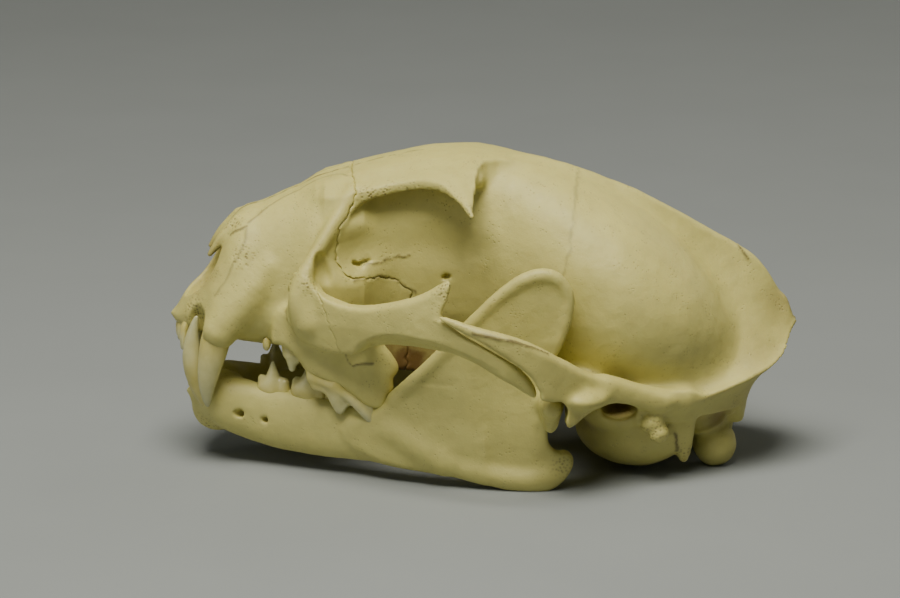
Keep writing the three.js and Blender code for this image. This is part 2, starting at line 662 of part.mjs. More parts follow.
// Rear cheek arch and its root, with the hinge groove for the jaw
cranium.add(egg([20.6, 29, 23.4], [7.2, 11.5, 3.2], 'l', 8), 3);
cranium.add(plate([
  [16.9, 27.0], [17.2, 22.0], [18.0, 18.2], [19.4, 17.8], [21.0, 20.0], [23.5, 24.0],
], [[16, 30], [24, 30]], [[16, 7], [24, 7]], 2), 1.5);
cranium.add(plate(ARCH_OUTLINE, ARCH_OUT, ARCH_HALF, 1.3), 1.6);
cranium.carve(rod([[14.9, 23, 20.9, 3.4], [14.9, 40.5, 21.2, 3.2]]), 0.6);
cranium.add(egg([29.9, 21, 17.4], [5.2, 3.4, 3.5], 'l', -4), 0.8);
cranium.carve(egg([29.8, 25, 18], [3.9, 7, 2.3], 'l', -4), 0.5);

// Thin plates behind the palate and the hollow between them
cranium.add(plate([
  [-18, 27], [-15, 23], [-6, 19.5], [3, 16.2], [8, 13.6], [9.4, 14.6], [7.5, 18.5], [8, 24], [-10, 30],
], [[-18, 9.5], [-5, 8.2], [9.4, 7.6]], [[-18, 1.3], [9.4, 1.1]], 1), 1.2);
cranium.carve(egg([-2, 0, 20], [14.5, 6.6, 5.2], 'l', 10), 1.5);

// Left cheekbone, grown together with the skull in front and parted from it at the seam below
const cheek = new Block([-46, 8, 20], [16, SIDE, 54], FINE);
cheek.add(cheekShape, 1);
cheek.change({
  low: cheek.low,
  high: [16, SIDE, 54],
  distance: (x, l, z) => (x < -17 ? cranium.read(x, l, z) : 8),
}, 0, (a, d) => Math.min(a, d));

// Left ear capsule
const capsule = new Block([15, 0, FLOOR], [50, 28, 26], FINE);
capsule.add(egg([33.5, 14, 11.2], [13.3, 8.6, 9.3], 'z', 14), 1);

// Left half of the lower jaw, kept clear of the bones above it
const jaw = new Block([-70, -2, FLOOR], [24, 46, 55], FINE);
jaw.add(sections(JAW_BODY, JAW_OUT), 1);
const ramusOut = [[-31, 16.6], [-24, 20.0], [-14, 23.8], [-6, 26.4], [2, 28.0], [10, 28.8], [19.5, 28.6]];
const ramusHalf = [[-31, 2.6], [-24, 2.4], [-12, 2.0], [0, 1.6], [19.5, 1.5]];
jaw.add(plate(RAMUS, ramusOut, ramusHalf, 1.2), 3);
jaw.add(rod(eased([
  [-20.0, 22.5, 19.6, 1.8], [-12.0, 25.3, 28.0, 1.7], [-3.0, 27.6, 38.4, 1.5], [4.0, 28.7, 45.4, 1.5],
  [10.0, 29.4, 49.4, 1.6], [15.0, 29.4, 49.4, 1.5], [18.2, 29.2, 45.6, 1.3], [17.8, 29.0, 40.0, 1.2],
  [15.5, 28.8, 33.0, 1.1],
])), 1);
jaw.add(rod(eased([
  [-16.0, 23.5, 6.4, 2.0], [-6.0, 26.6, 6.0, 2.0], [2.0, 28.6, 3.8, 2.1], [9.0, 29.2, 2.7, 2.3],
  [14.5, 28.6, 3.9, 2.4], [17.4, 28.0, 6.6, 1.9],
])), 2);
jaw.add(rod(eased([
  [-21.0, 24.2, 11.5, 1.0], [-15.0, 26.0, 9.6, 1.5], [-9.5, 27.4, 7.4, 1.6], [-3.0, 28.4, 5.6, 1.4],
])), 2);
jaw.carve(egg([3.5, 34.2, 22], [12, 5.4, 15], 'l', -20), 2.5);
jaw.add(rod([[14.7, 24.8, 20.8, 2.5], [14.8, 31.5, 21.3, 2.8], [14.7, 37.6, 21.4, 2.3]]), 2.5);
jaw.add(egg([-60, 2.6, 13.6], [6.4, 4.5, 7.2], 'l', 25), 2);
jaw.change({
  low: jaw.low,
  high: [24, 46, 55],
  distance: (x, l, z) => Math.max(SEAM / 2 - l, 0.55 - Math.min(cranium.read(x, l, z), 2)),
}, 0, (a, d) => Math.max(a, d));

// Bone solids
const craniumSkin = await thinned(skin(cranium, true), CRANIUM_FACES);
const cheekSkin = await thinned(skin(cheek, false), CHEEK_FACES);
const capsuleSkin = await thinned(skin(capsule, false), CAPSULE_FACES);
const jawSkin = await thinned(skin(jaw, false), JAW_FACES);

// Blocks run outwards from the middle; the left side is -Y
function leftOf(geometry) {
  const turned = geometry.clone();
  turned.scale(1, -1, 1);
  const faces = Array.from(turned.index.array).reverse();
  turned.setIndex(faces);
  return turned;
}

// The same skin moved outwards a little, to cut a clearance
function grown(geometry, by) {
  const bigger = geometry.clone();
  bigger.computeVertexNormals();
  const { position, normal } = bigger.attributes;
  for (let i = 0; i < position.count; i += 1) {
    position.setXYZ(
      i,
      position.getX(i) + by * normal.getX(i),
      position.getY(i) + by * normal.getY(i),
      position.getZ(i) + by * normal.getZ(i),
    );
  }
  bigger.deleteAttribute('normal');
  return bigger;
}

// The cheekbone starts beyond a slanting seam in front and stays outside the tooth wall
function cheekSpace(inset) {
  const plan = [
    [-38.5 - inset, 36], [-31.5 - inset, 23.4 - inset], [-19.5, 23.4 - inset], [-12, 30], [16, 30], [16, 50],
    [-38.5, 50],
  ];
  const shape = new THREE.Shape(plan.map(([x, out]) => new THREE.Vector2(x, -out)));
  const space = new THREE.ExtrudeGeometry(shape, { depth: 34, bevelEnabled: false });
  space.translate(0, 0, 20);
  space.deleteAttribute('uv');
  space.deleteAttribute('normal');
  return solidOf(mergeVertices(space, 1e-5));
}

const cheekLeft = largest(solidOf(leftOf(cheekSkin)).intersect(cheekSpace(0)));
const cheekRoom = cheekSpace(SEAM).intersect(box([-60, -SIDE, 20], [-13, 0, 54]));
const capsuleLeft = solidOf(leftOf(capsuleSkin));
const jawLeft = solidOf(leftOf(jawSkin));
let head = solidOf(craniumSkin);
for (const gap of [cheekRoom, solidOf(grown(leftOf(capsuleSkin), SEAM))]) {
  head = head.subtract(gap).subtract(gap.mirror([0, 1, 0]));
}

// Upper teeth of the left side
const wider = (points, by) => points.map((p) => [p[0], p[1], p[2], p[3] + by]);
const UPPER_CANINE = eased([
  [-58.8, 11.0, 36.0, 2.8], [-60.2, 12.2, 32.3, 3.6], [-61.1, 12.5, 27.4, 3.3], [-62.2, 12.4, 22.9, 2.65],
  [-62.7, 12.0, 18.5, 1.65], [-62.5, 11.6, 14.6, 0.45],
], 2);
const INCISORS = [[1.4, -69.0, 0.95, 3.6], [3.7, -68.6, 1.05, 3.9], [6.2, -67.9, 1.3, 5.2]];
const CARNASSIAL = [
  [-39.6, 26.5], [-39.6, 23.4], [-36.6, 20.8], [-35.0, 19.4], [-33.6, 17.2], [-32.2, 15.9], [-30.8, 16.6],
  [-29.6, 17.6], [-28.2, 16.0], [-25.8, 14.2], [-24.8, 14.6], [-24.8, 18.0], [-28.0, 22.5], [-33.0, 26.0],
];
const upperTeeth = [
  cone(UPPER_CANINE, 10, 0.8),
  ...INCISORS.map(([l, x, r, long]) => cone([
    [x + 2.4, l * 0.9, 36, r], [x, l, 31.4, r], [x - 0.2, l, 32 - long, 0.5],
  ], 6)),
  cone([[-49, 11.6, 36, 1.0], [-49, 12.2, 28.4, 1.15], [-49, 12.2, 27.6, 0.7]], 6),
  cone([[-43.2, 13.8, 34, 2.4], [-43.4, 14.8, 30.0, 2.6], [-43.2, 15.0, 27.6, 2.5], [-42.9, 15.2, 24.0, 0.5]], 8, 0.6),
  blade(CARNASSIAL, [[-40, 18.2], [-32, 20.2], [-24.6, 21.8]], (z) => 0.55 + 0.09 * (z - 14)),
];

// Lower teeth of the left side
const LOWER_CANINE = eased([
  [-61.8, 6.6, 13.0, 2.5], [-64.6, 7.2, 19.0, 2.8], [-66.3, 8.1, 25.0, 2.35], [-66.1, 8.6, 30.5, 1.45],
  [-64.9, 8.9, 35.0, 0.45],
], 2);
const CUTTER = [
  [-35.2, 15.5], [-35.2, 20.5], [-32.8, 23.6], [-31.0, 21.0], [-29.6, 20.8], [-27.2, 23.6], [-25.5, 20.0],
  [-25.5, 15.5],
];
const CUTTER_OUT = [[-35.2, 14.0], [-25.4, 16.9]];
const premolar = (x, l, wide, tall) => cone([
  [x, l, 15.5, wide], [x, l, 19.6, wide], [x - 0.1, l, 21.2, wide * 0.62], [x - 0.2, l, tall, 0.5],
], 8, 0.5);
const lowerTeeth = [
  cone(LOWER_CANINE, 10, 0.85),
  ...[1.2, 2.9, 4.4].map((l) => cone([[-64.8, l, 15.5, 0.8], [-66.3, l, 19.0, 0.8], [-67.0, l, 20.8, 0.5]], 6)),
  premolar(-47.8, 9.6, 3.6, 25.2),
  premolar(-39.6, 12.8, 3.9, 25.4),
  blade(CUTTER, CUTTER_OUT, (z) => 1.3 - 0.07 * (z - 15)),
];

// Clearance where teeth pass the bone of the other jaw
const lowerReach = [
  cone(wider(LOWER_CANINE.slice(2), 0.5).concat([[-64.8, 8.9, 36, 0.6]]), 10),
  blade(CUTTER.map(([x, z]) => [x < -30 ? x - 0.5 : x + 0.5, z + 0.6]), CUTTER_OUT, (z) => 1.8 - 0.07 * (z - 15)),
];
const upperReach = [
  cone(wider(UPPER_CANINE.slice(2), 0.5).concat([[-62.8, 11.5, 13, 0.6]]), 10),
  blade(CARNASSIAL.map(([x, z]) => [x < -32 ? x - 0.6 : x + 0.6, z < 20 ? z - 0.7 : z]),
    [[-40, 18.2], [-32, 20.2], [-24.6, 21.8]], (z) => 1.15 + 0.09 * (z - 14)),
];
let lower = jawLeft;
for (const tooth of lowerTeeth) {
  lower = lower.add(tooth);
}
for (const tooth of upperReach) {
  lower = lower.subtract(tooth);
}
lower = largest(lower);

// Small flats at one level under the jaw corners and the neck knobs
const underFloor = box([FRONT, -SIDE, -12], [BACK, SIDE, RESTING_LEVEL]);
lower = lower.subtract(underFloor);
head = head.subtract(underFloor);

// Bones parted along their seams
const ARCH_PLANE = 27.9;
const archBlock = box([-16, -SIDE, FLOOR], [46, -ARCH_PLANE - SEAM / 2, 46]);
const archGap = box([-16, -SIDE, FLOOR], [46, -ARCH_PLANE + SEAM / 2, 46]);
const archLeft = largest(head.intersect(archBlock));
head = largest(head.subtract(archGap).subtract(archGap.mirror([0, 1, 0])));

const FACE_SEAM = [[-33, 80], [-33, 62], [-35.5, 56], [-36.5, 50], [-33, 44], [-25, 38], [-19, 33], [-17.6, -10]];
const behindFace = new THREE.Shape([...FACE_SEAM, [90, -10], [90, 80]].map((p) => new THREE.Vector2(p[0], p[1])));
const rearBlock = new THREE.ExtrudeGeometry(behindFace, { depth: 2 * SIDE, bevelEnabled: false });
rearBlock.rotateX(Math.PI / 2);
rearBlock.translate(0, SIDE, 0);
rearBlock.deleteAttribute('uv');
rearBlock.deleteAttribute('normal');
const rearSolid = solidOf(mergeVertices(rearBlock, 1e-5));
const faceWall = seamWall(FACE_SEAM, -SIDE, SIDE);
const braincase = largest(head.intersect(rearSolid).subtract(faceWall));
let muzzle = largest(head.subtract(rearSolid).subtract(faceWall));
for (const tooth of upperTeeth) {
  muzzle = muzzle.add(tooth).add(tooth.mirror([0, 1, 0]));
}
for (const tooth of lowerReach) {
  muzzle = muzzle.subtract(tooth).subtract(tooth.mirror([0, 1, 0]));
}
muzzle = largest(muzzle);

const bone = { color: 0xb4a770, roughness: 0.62, metalness: 0 };
const paleBone = { color: 0xbab07c, roughness: 0.6, metalness: 0 };
const skull = new THREE.Group();
skull.name = 'golden_cat_skull';

function node(name, solid, look) {
  const mesh = new THREE.Mesh(geometryOf(solid), new THREE.MeshStandardMaterial(look));
  mesh.name = name;
  skull.add(mesh);
}

node('muzzle', muzzle, bone);
node('braincase', braincase, bone);
for (const [name, left, look] of [
  ['cheekbone', cheekLeft, paleBone],
  ['cheek_arch', archLeft, bone],
  ['ear_capsule', capsuleLeft, paleBone],
  ['lower_jaw', lower, paleBone],
]) {
  node(`${name}_left`, left, look);
  node(`${name}_right`, left.mirror([0, 1, 0]), look);
}

// Stand the skull on the floor with the middle of its outline over the origin
const bounds = new THREE.Box3().setFromObject(skull);
const middle = bounds.getCenter(new THREE.Vector3());
skull.children.forEach((mesh) => mesh.geometry.translate(-middle.x, -middle.y, -bounds.min.z));

export default skull;
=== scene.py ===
import math

import bpy
import numpy as np
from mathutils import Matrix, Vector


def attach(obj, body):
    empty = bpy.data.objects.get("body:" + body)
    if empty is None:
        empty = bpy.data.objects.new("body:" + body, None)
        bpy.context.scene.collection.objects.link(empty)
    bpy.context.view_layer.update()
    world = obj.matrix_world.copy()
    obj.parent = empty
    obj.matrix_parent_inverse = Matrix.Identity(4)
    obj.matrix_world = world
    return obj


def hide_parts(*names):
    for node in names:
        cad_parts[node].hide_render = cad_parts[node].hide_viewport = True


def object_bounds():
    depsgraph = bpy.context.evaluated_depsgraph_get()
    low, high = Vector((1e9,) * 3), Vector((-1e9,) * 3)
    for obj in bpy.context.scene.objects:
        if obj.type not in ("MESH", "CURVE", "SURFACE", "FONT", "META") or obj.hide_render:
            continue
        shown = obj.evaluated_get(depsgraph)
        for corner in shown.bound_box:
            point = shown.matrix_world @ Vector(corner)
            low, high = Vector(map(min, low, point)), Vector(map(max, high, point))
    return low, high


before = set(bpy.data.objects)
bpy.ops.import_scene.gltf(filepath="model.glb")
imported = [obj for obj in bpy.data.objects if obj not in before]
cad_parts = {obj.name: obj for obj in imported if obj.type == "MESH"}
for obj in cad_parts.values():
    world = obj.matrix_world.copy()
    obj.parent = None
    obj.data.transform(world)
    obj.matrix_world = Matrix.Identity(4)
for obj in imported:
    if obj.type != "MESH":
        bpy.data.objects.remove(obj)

import openvdb
from mathutils import Vector

cad_low, cad_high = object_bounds()

# Golden cat skull with its lower jaw closed.
# The tables are in millimetres: x runs back from the middle, out is the distance from the midline,
# z is up. They are the part's own sizes. Each bone is a solid of smoothly joined forms, because
# no extruded primitive gives the way one bone flows into the next.
MM = 0.001
FAR = 8.0
FRONT_TIP = -70.92        # foremost tooth, before the skull is centred over the origin
RESTING_LEVEL = 0.35      # height of the small flats under the jaw corners and neck knobs
SHIFT = np.array([cad_low.x / MM - FRONT_TIP, 0.0, -RESTING_LEVEL])
FINE = 0.36      # grid spacing on the face, cheekbones and jaw
COARSE = 0.45   # grid spacing on the braincase
TOOTH = 0.2     # grid spacing on the cheek teeth
MOST_FACES = 185000       # triangles left in one bone

# Height of the roof along the middle, front to back: x, z
TOP = [
    (-69, 35.5), (-68, 37.2), (-65.2, 41.8), (-62.6, 45.4), (-60, 49.5), (-58, 54), (-56.1, 57.2),
    (-54.1, 58.9), (-50.3, 60), (-46.3, 61.6), (-41.7, 63.9), (-36.1, 65.9), (-30.4, 67.7),
    (-23.6, 69.6), (-16.8, 71.1), (-10, 71.9), (-3.2, 72.1), (1.4, 71.8), (5.9, 71.1),
    (12.7, 69.9), (19.5, 68.2), (26.3, 65.7), (33.1, 62.9), (39.9, 59.5), (46.7, 55.8),
    (51.3, 53), (56.9, 49.8), (60.8, 47.2), (63.7, 43.9), (66.7, 39.2), (69.2, 35.7), (70.1, 32.6),
]
# Sections: x, half width, top, bottom, height of the widest place, squareness
MUZZLE = [
    (-69.6, 4.2, 35, 31.8, 33.5, 2.2), (-67.5, 7.4, 38.6, 30.8, 34.5, 2.2),
    (-64.5, 9.8, 42.6, 30, 36, 2.2), (-61, 12.6, 48.2, 29.6, 37, 2.1),
    (-56.3, 13.9, 56.6, 28.4, 37.5, 2.05), (-50, 14, 59.8, 27.3, 39, 2.05),
    (-44, 15.2, 62.4, 26.6, 41, 2.05), (-38, 17.6, 64.4, 25.5, 44, 2.05),
    (-32, 18, 65.4, 24.5, 46, 2.1), (-27, 15.5, 64.5, 24.5, 46, 2.1),
]
BRAINCASE = [
    (-38, 10.5, 64.6, 27, 46, 2.4), (-28, 10.8, 67.4, 25.5, 46, 2.4), (-17, 10.6, 70, 24.5, 46, 2.4),
    (-8, 11.8, 71.4, 23.5, 46, 2.3), (0, 14.2, 71.3, 21.5, 45.5, 2.2), (6, 17, 70.4, 19.5, 44, 2.15),
    (12, 20.7, 69, 17.6, 42.5, 2.1), (18, 24, 67.3, 16, 41, 2.1), (25, 26.2, 64.6, 15, 39.5, 2.1),
    (32, 27.2, 61, 14.5, 38, 2.1), (40, 26, 55.4, 14.5, 36, 2.05), (47, 22.4, 48.8, 15, 34, 2),
    (53, 15.6, 41, 16.5, 30.5, 2), (58, 6, 33, 20, 27, 2), (59.5, 2, 29, 23, 26.5, 2),
]
# Edge of the crest across the back of the skull: out, x, z
NUCHAL_EDGE = [
    (0, 70.1, 32.6), (5, 69.4, 29.6), (9, 68, 26.8), (13, 65, 24.6), (16.5, 60.8, 23),
    (19.5, 56.2, 21.6), (22, 51.6, 20.4), (24, 46, 19.2), (25.6, 40.3, 18.4), (26.5, 34, 18),
]
# Half width of the brow over the eye sockets, and its drop for each square millimetre out
BROW = [
    (-38, 10), (-34, 12), (-29.5, 12.6), (-24, 12.9), (-18.7, 13.1), (-14.5, 14.3), (-11.5, 16.2),
    (-9, 18.8), (-6.8, 22.4), (-4.9, 26), (-3.3, 27.6), (-2.7, 25), (-2.2, 19), (-1.7, 13.5),
    (-0.6, 9.5), (2, 6.5), (6, 4), (11, 2.4), (18, 1.5),
]
BROW_FALL = [
    (-38, 0.022), (-24, 0.0205), (-18.7, 0.02), (-12, 0.0136), (-8.6, 0.0116), (-5, 0.0114),
    (-3, 0.0113), (18, 0.0125),
]
# Cheekbone and rear half of the cheek arch: outline x, z, then out and half thickness over x
CHEEK_OUTLINE = [
    (-43, 38), (-42, 43), (-40.2, 46.6), (-38, 45.4), (-35, 43.4), (-29.5, 42.5), (-25.3, 43),
    (-20, 44.8), (-14, 47.5), (-8.1, 51), (-8.4, 47), (-9.6, 43.3), (-5.5, 39.9),
    (-0.7, 37.5), (4.6, 34.2), (9.1, 30.4), (11.2, 26.6), (10.4, 25), (6, 28.4), (0.5, 31.6),
    (-4.5, 33.6), (-9.7, 34.4), (-18.5, 34.2), (-24.2, 33.2), (-29.3, 31.4), (-35, 31), (-41, 33),
]
CHEEK_OUT = [
    (-43, 18.5), (-38, 21.2), (-34, 24.2), (-29, 27.8), (-24, 31.4), (-18.5, 35), (-10, 39.4),
    (-1, 42.8), (5, 43.8), (11, 42.4), (18, 39.5),
]
CHEEK_HALF = [(-43, 3.2), (-36, 3), (-29, 2.3), (-18, 1.8), (-8, 1.5), (4, 1.4), (11.2, 1.1)]
ARCH_OUTLINE = [
    (-10.4, 43.4), (-8, 43.6), (-3.4, 42.3), (2.6, 40.8), (7.8, 38.9), (12.5, 36.2), (16.7, 33.2),
    (21, 29.8), (25.6, 27), (30, 24.9), (34.6, 22.8), (40, 20.6), (39, 18.6), (34, 20.2),
    (29, 21.4), (25, 21), (21.6, 18.8), (19.2, 17.4), (17.9, 18), (17.2, 21.4), (14.6, 24.2),
    (12.2, 25.2), (11.9, 27.2), (9.6, 31), (5, 34.8), (-0.4, 38.1), (-5.2, 40.5),
]
ARCH_OUT = [
    (-10.4, 41.6), (-5, 43), (0, 43.9), (5, 44), (10, 43), (13.5, 41.4), (17, 38.6), (21, 35),
    (25.6, 31.4), (30, 28.8), (35, 27), (40, 25.6),
]
ARCH_HALF = [(-10.4, 0.8), (-4, 1.4), (6, 1.8), (12, 2.2), (20, 2.4), (30, 1.8), (40, 1.4)]
# Side wall of the upper jaw over the cheek teeth
TOOTH_WALL = [
    (-48, 31), (-45.4, 30), (-42.8, 28.2), (-41.3, 26.4), (-40.2, 24.8), (-38.4, 23.8), (-32.6, 22),
    (-30.2, 20.4), (-28, 18.5), (-25.8, 17.3), (-24.2, 17), (-22.4, 17.4), (-21.7, 19.2),
    (-20.5, 21.4), (-20.5, 23.8), (-19.4, 25.6), (-19.8, 27.6),
    (-21.6, 30.5), (-25, 34), (-32, 38), (-40, 40), (-46, 38),
]
WALL_OUT = [(-47, 13.5), (-42, 15.6), (-36, 18.2), (-30, 20), (-24, 20.8), (-19, 19.9)]
WALL_HALF = [(-47, 2.5), (-36, 2.6), (-28, 2), (-19, 1.5)]
# Lower jaw: rising rear part, then sections of the tooth-bearing part and their distance out
RAMUS = [
    (-31, 11), (-24, 15.4), (-19, 21), (-17, 24), (-13, 27.4), (-10, 31), (-2.7, 39.1), (3.6, 46),
    (9, 50), (13.5, 51), (17, 49.6), (19.4, 45.5), (19, 40), (16.5, 33), (13.8, 27), (13.2, 22.5),
    (14.2, 18.4), (13.9, 13.9), (14.4, 10.8), (16.2, 9), (18.2, 8.8), (19.5, 6.9), (18.6, 4),
    (15.8, 1.3), (12.4, 0.1), (8, 0.2), (2.7, 1.2), (-3, 2.9), (-8, 4.2), (-16, 4.5), (-24, 6),
]
RAMUS_OUT = [(-31, 16.6), (-24, 20), (-14, 23.8), (-6, 26.4), (2, 28), (10, 28.8), (19.5, 28.6)]
RAMUS_HALF = [(-31, 2.6), (-24, 2.4), (-12, 2), (0, 1.6), (19.5, 1.5)]
JAW_BODY = [
    (-65.6, 2.5, 18.5, 13.5, 16, 2.2), (-63.5, 4.2, 19.8, 11, 15, 2.3), (-60, 5, 20.4, 8.4, 14, 2.4),
    (-55, 4.5, 19.9, 6.4, 13, 2.4), (-50, 3.9, 18.8, 5.1, 12, 2.4), (-42, 3.7, 18.1, 4, 11, 2.4),
    (-34, 3.7, 17.4, 3.8, 11, 2.4), (-26, 3.4, 17.8, 4, 11, 2.3), (-18, 3, 19, 4.2, 11, 2.2),
    (-10, 2.4, 18, 4.2, 10, 2.1), (-4, 1.8, 15, 4, 9, 2), (0, 1.2, 12, 5, 8.5, 2),
]
JAW_OUT = [
    (-65.6, 3), (-63.5, 4.3), (-60, 5.6), (-55, 6.8), (-50, 8.6), (-42, 11.8), (-34, 15),
    (-26, 18.6), (-18, 22.2), (-10, 25.4), (-4, 27), (0, 27.8),
]
# Seam between face and braincase in the side view, which is the suture in front of the brow
FACE_SEAM = [
    (-31.5, 82), (-31, 68.5), (-29.3, 66.6), (-28.9, 64.4), (-29.8, 61.6), (-31.2, 59), (-32.7, 57),
    (-33.2, 53), (-33.5, 50), (-32, 47.5), (-29.6, 45.4), (-25.6, 45.2), (-21.4, 44.5),
    (-18.3, 42.7), (-16.4, 41), (-16.6, 37),
    (-16.6, 33), (-17.6, 26), (-17.8, 10),
]
SEAM_HALF = 0.02          # half the hairline between two bones
SEAM_EDGE = 0.09          # rounding of its edges
CHEEK_EDGE = 0.05         # the same for the cheekbone, whose suture is closed
CHEEK_LAP = 0.15          # how far each of the two bones reaches past that suture
CHEEK_FREE = -17          # behind this x the cheekbone is its own plate, clear of the eye socket
ROOT_END = -16            # rear end of the part of that plate which grows out of the face
SUTURE_END = -12          # behind this x nothing of the cheekbone touches the braincase
THINNEST = 0.2            # least half size of a section
REAR_RUN = 11             # how far forward the rear face runs below the crest's edge
REAR_DROP = 7             # height over which it does most of that
REAR_FRONT = 34           # front end of the rear wall
CREST_FRONT = 8           # front end of the ridge on the roof
CREST_FOOT = 20           # its lowest point
BROW_THICK = 3.6          # roof over the eye sockets at the middle
BROW_TAPER = 2.3          # how much thinner it is at its tip
BROW_TIP = 24             # distance out where it has tapered


def curve_of(rows, column=1):
    """Smooth curve through one column of a table, as a function of its first column."""
    t = np.array([row[0] for row in rows], float)
    v = np.array([row[column] for row in rows], float)
    slope = np.gradient(v, t)
    fine = np.linspace(t[0], t[-1], 400)
    i = np.clip(np.searchsorted(t, fine) - 1, 0, len(t) - 2)
    h = t[i + 1] - t[i]
    u = (fine - t[i]) / h
    w = 1 - u
    out = (1 + 2 * u) * w * w * v[i] + u * w * w * h * slope[i]
    out += u * u * (3 - 2 * u) * v[i + 1] - u * u * w * h * slope[i + 1]
    return lambda x: np.interp(x, fine, out).astype(np.float32)


def joined(a, b, k):
    """Union of two distances, with a fillet about k wide."""
    h = np.clip(0.5 + 0.5 * (b - a) / k, 0, 1)
    return b + (a - b) * h - k * h * (1 - h)


def trimmed(a, b, k):
    """What two distances have in common, with edges rounded over about k."""
    return -joined(-a, -b, k)


def eased(points, steps=5, loop=False):
    """Points along a smooth curve through the given ones."""
    p = np.array(points, float)
    if loop:
        ends = np.vstack([p[-1:], p, p[:2]])
    else:
        ends = np.vstack([2 * p[:1] - p[1:2], p, 2 * p[-1:] - p[-2:-1]])
    out = []
    for a, b, c, d in zip(ends[:-3], ends[1:-2], ends[2:-1], ends[3:]):
        for t in np.linspace(0, 1, steps, endpoint=False):
            out.append(0.5 * (2 * b + (c - a) * t + (2 * a - 5 * b + 4 * c - d) * t * t
                              + (3 * b - a - 3 * c + d) * t ** 3))
    if not loop:
        out.append(p[-1])
    return np.array(out)


def egg(centre, radii, axis="", degrees=0):
    """Egg shape with an optional turn about one axis: x, l for the way out, or z."""
    c = np.array(centre, float)
    r = np.array(radii, float) * np.ones(3)
    turn = np.eye(3)
    if axis:
        i, j = {"x": (1, 2), "l": (2, 0), "z": (0, 1)}[axis]
        turn[i, i] = turn[j, j] = math.cos(math.radians(degrees))
        turn[j, i] = math.sin(math.radians(degrees))
        turn[i, j] = -turn[j, i]
    reach = r.max() if axis else r

    def distance(x, l, z):
        p = [x - c[0], l - c[1], z - c[2]]
        if axis:
            p = [sum(turn[j][i] * p[j] for j in range(3)) for i in range(3)]
        k0 = np.sqrt(sum((p[i] / r[i]) ** 2 for i in range(3)))
        k1 = np.sqrt(sum((p[i] / r[i] ** 2) ** 2 for i in range(3)))
        return k0 * (k0 - 1) / (k1 + 1e-6)

    return distance, c - reach, c + reach


def rod(points):
    """Round cones end to end through points of x, out, z and radius."""
    pts = np.array(points, float)

    def distance(x, l, z):
        best = None
        for a, b in zip(pts[:-1], pts[1:]):
            v = b[:3] - a[:3]
            t = np.clip(((x - a[0]) * v[0] + (l - a[1]) * v[1] + (z - a[2]) * v[2]) / (v @ v), 0, 1)
            away = (x - a[0] - t * v[0]) ** 2 + (l - a[1] - t * v[1]) ** 2
            away = np.sqrt(away + (z - a[2] - t * v[2]) ** 2) - a[3] - t * (b[3] - a[3])
            best = away if best is None else np.minimum(best, away)
        return best

    r = pts[:, 3].max()
    return distance, pts[:, :3].min(0) - r, pts[:, :3].max(0) + r


def sections(rows, out_rows=None, flat_below=0.0):
    """Body swept through sections, each an oval with its own squareness, more below if told so."""
    width, top, bottom, middle, square = (curve_of(rows, column) for column in range(1, 6))
    out = curve_of(out_rows) if out_rows else lambda x: 0.0
    first, last = rows[0][0], rows[-1][0]

    def distance(x, l, z):
        q = np.clip(x, first, last)
        w, m = np.maximum(width(q), THINNEST), middle(q)
        p = square(q) + flat_below * (z < m)
        h = np.maximum(np.where(z > m, top(q) - m, m - bottom(q)), THINNEST)
        k = (np.abs((l - out(q)) / w) ** p + np.abs((z - m) / h) ** p) ** (1 / p)
        return (k - 1) * np.minimum(w, 0.5 * (top(q) - bottom(q))) * 0.9 + np.abs(x - q)

    reach = max(row[1] for row in rows)
    outs = [row[1] for row in out_rows] if out_rows else [0]
    low = (first, min(outs) - reach, min(row[3] for row in rows))
    return distance, low, (last, max(outs) + reach, max(row[2] for row in rows))


def outline_distance(loop, x, z):
    """Distance to a closed outline in the side view, less than zero inside it."""
    flat_x, flat_z = x[:, 0, :], z[0]
    best = np.full((x.shape[0], z.shape[2]), 1e9, np.float32)
    inside = np.zeros_like(best, bool)
    for a, b in zip(loop, np.roll(loop, -1, axis=0)):
        vx, vz = b[0] - a[0], b[1] - a[1]
        t = ((flat_x - a[0]) * vx + (flat_z - a[1]) * vz) / (vx * vx + vz * vz + 1e-9)
        t = np.clip(t, 0, 1)
        best = np.minimum(best, (flat_x - a[0] - t * vx) ** 2 + (flat_z - a[1] - t * vz) ** 2)
        crossing = a[0] + (flat_z - a[1]) * vx / (vz if vz else 1e-9)
        inside ^= ((a[1] > flat_z) != (b[1] > flat_z)) & (flat_x < crossing)
    best = np.sqrt(best)
    return np.where(inside, -best, best)[:, None, :]


def plate(outline, out_rows, half_rows, rounding=1.2, bow=None):
    """Plate of bone with an outline in the side view, set out from the middle."""
    loop = eased(outline, 4, loop=True)
    out, half = curve_of(out_rows), curve_of(half_rows)

    def distance(x, l, z):
        centre = out(x) + (bow(x, z) if bow else 0)
        return trimmed(outline_distance(loop, x, z), np.abs(l - centre) - half(x), rounding)

    reach = max(row[1] for row in half_rows) + 4
    outs = [row[1] for row in out_rows]
    low = (loop[:, 0].min(), min(outs) - reach, loop[:, 1].min())
    return distance, low, (loop[:, 0].max(), max(outs) + reach, loop[:, 1].max())


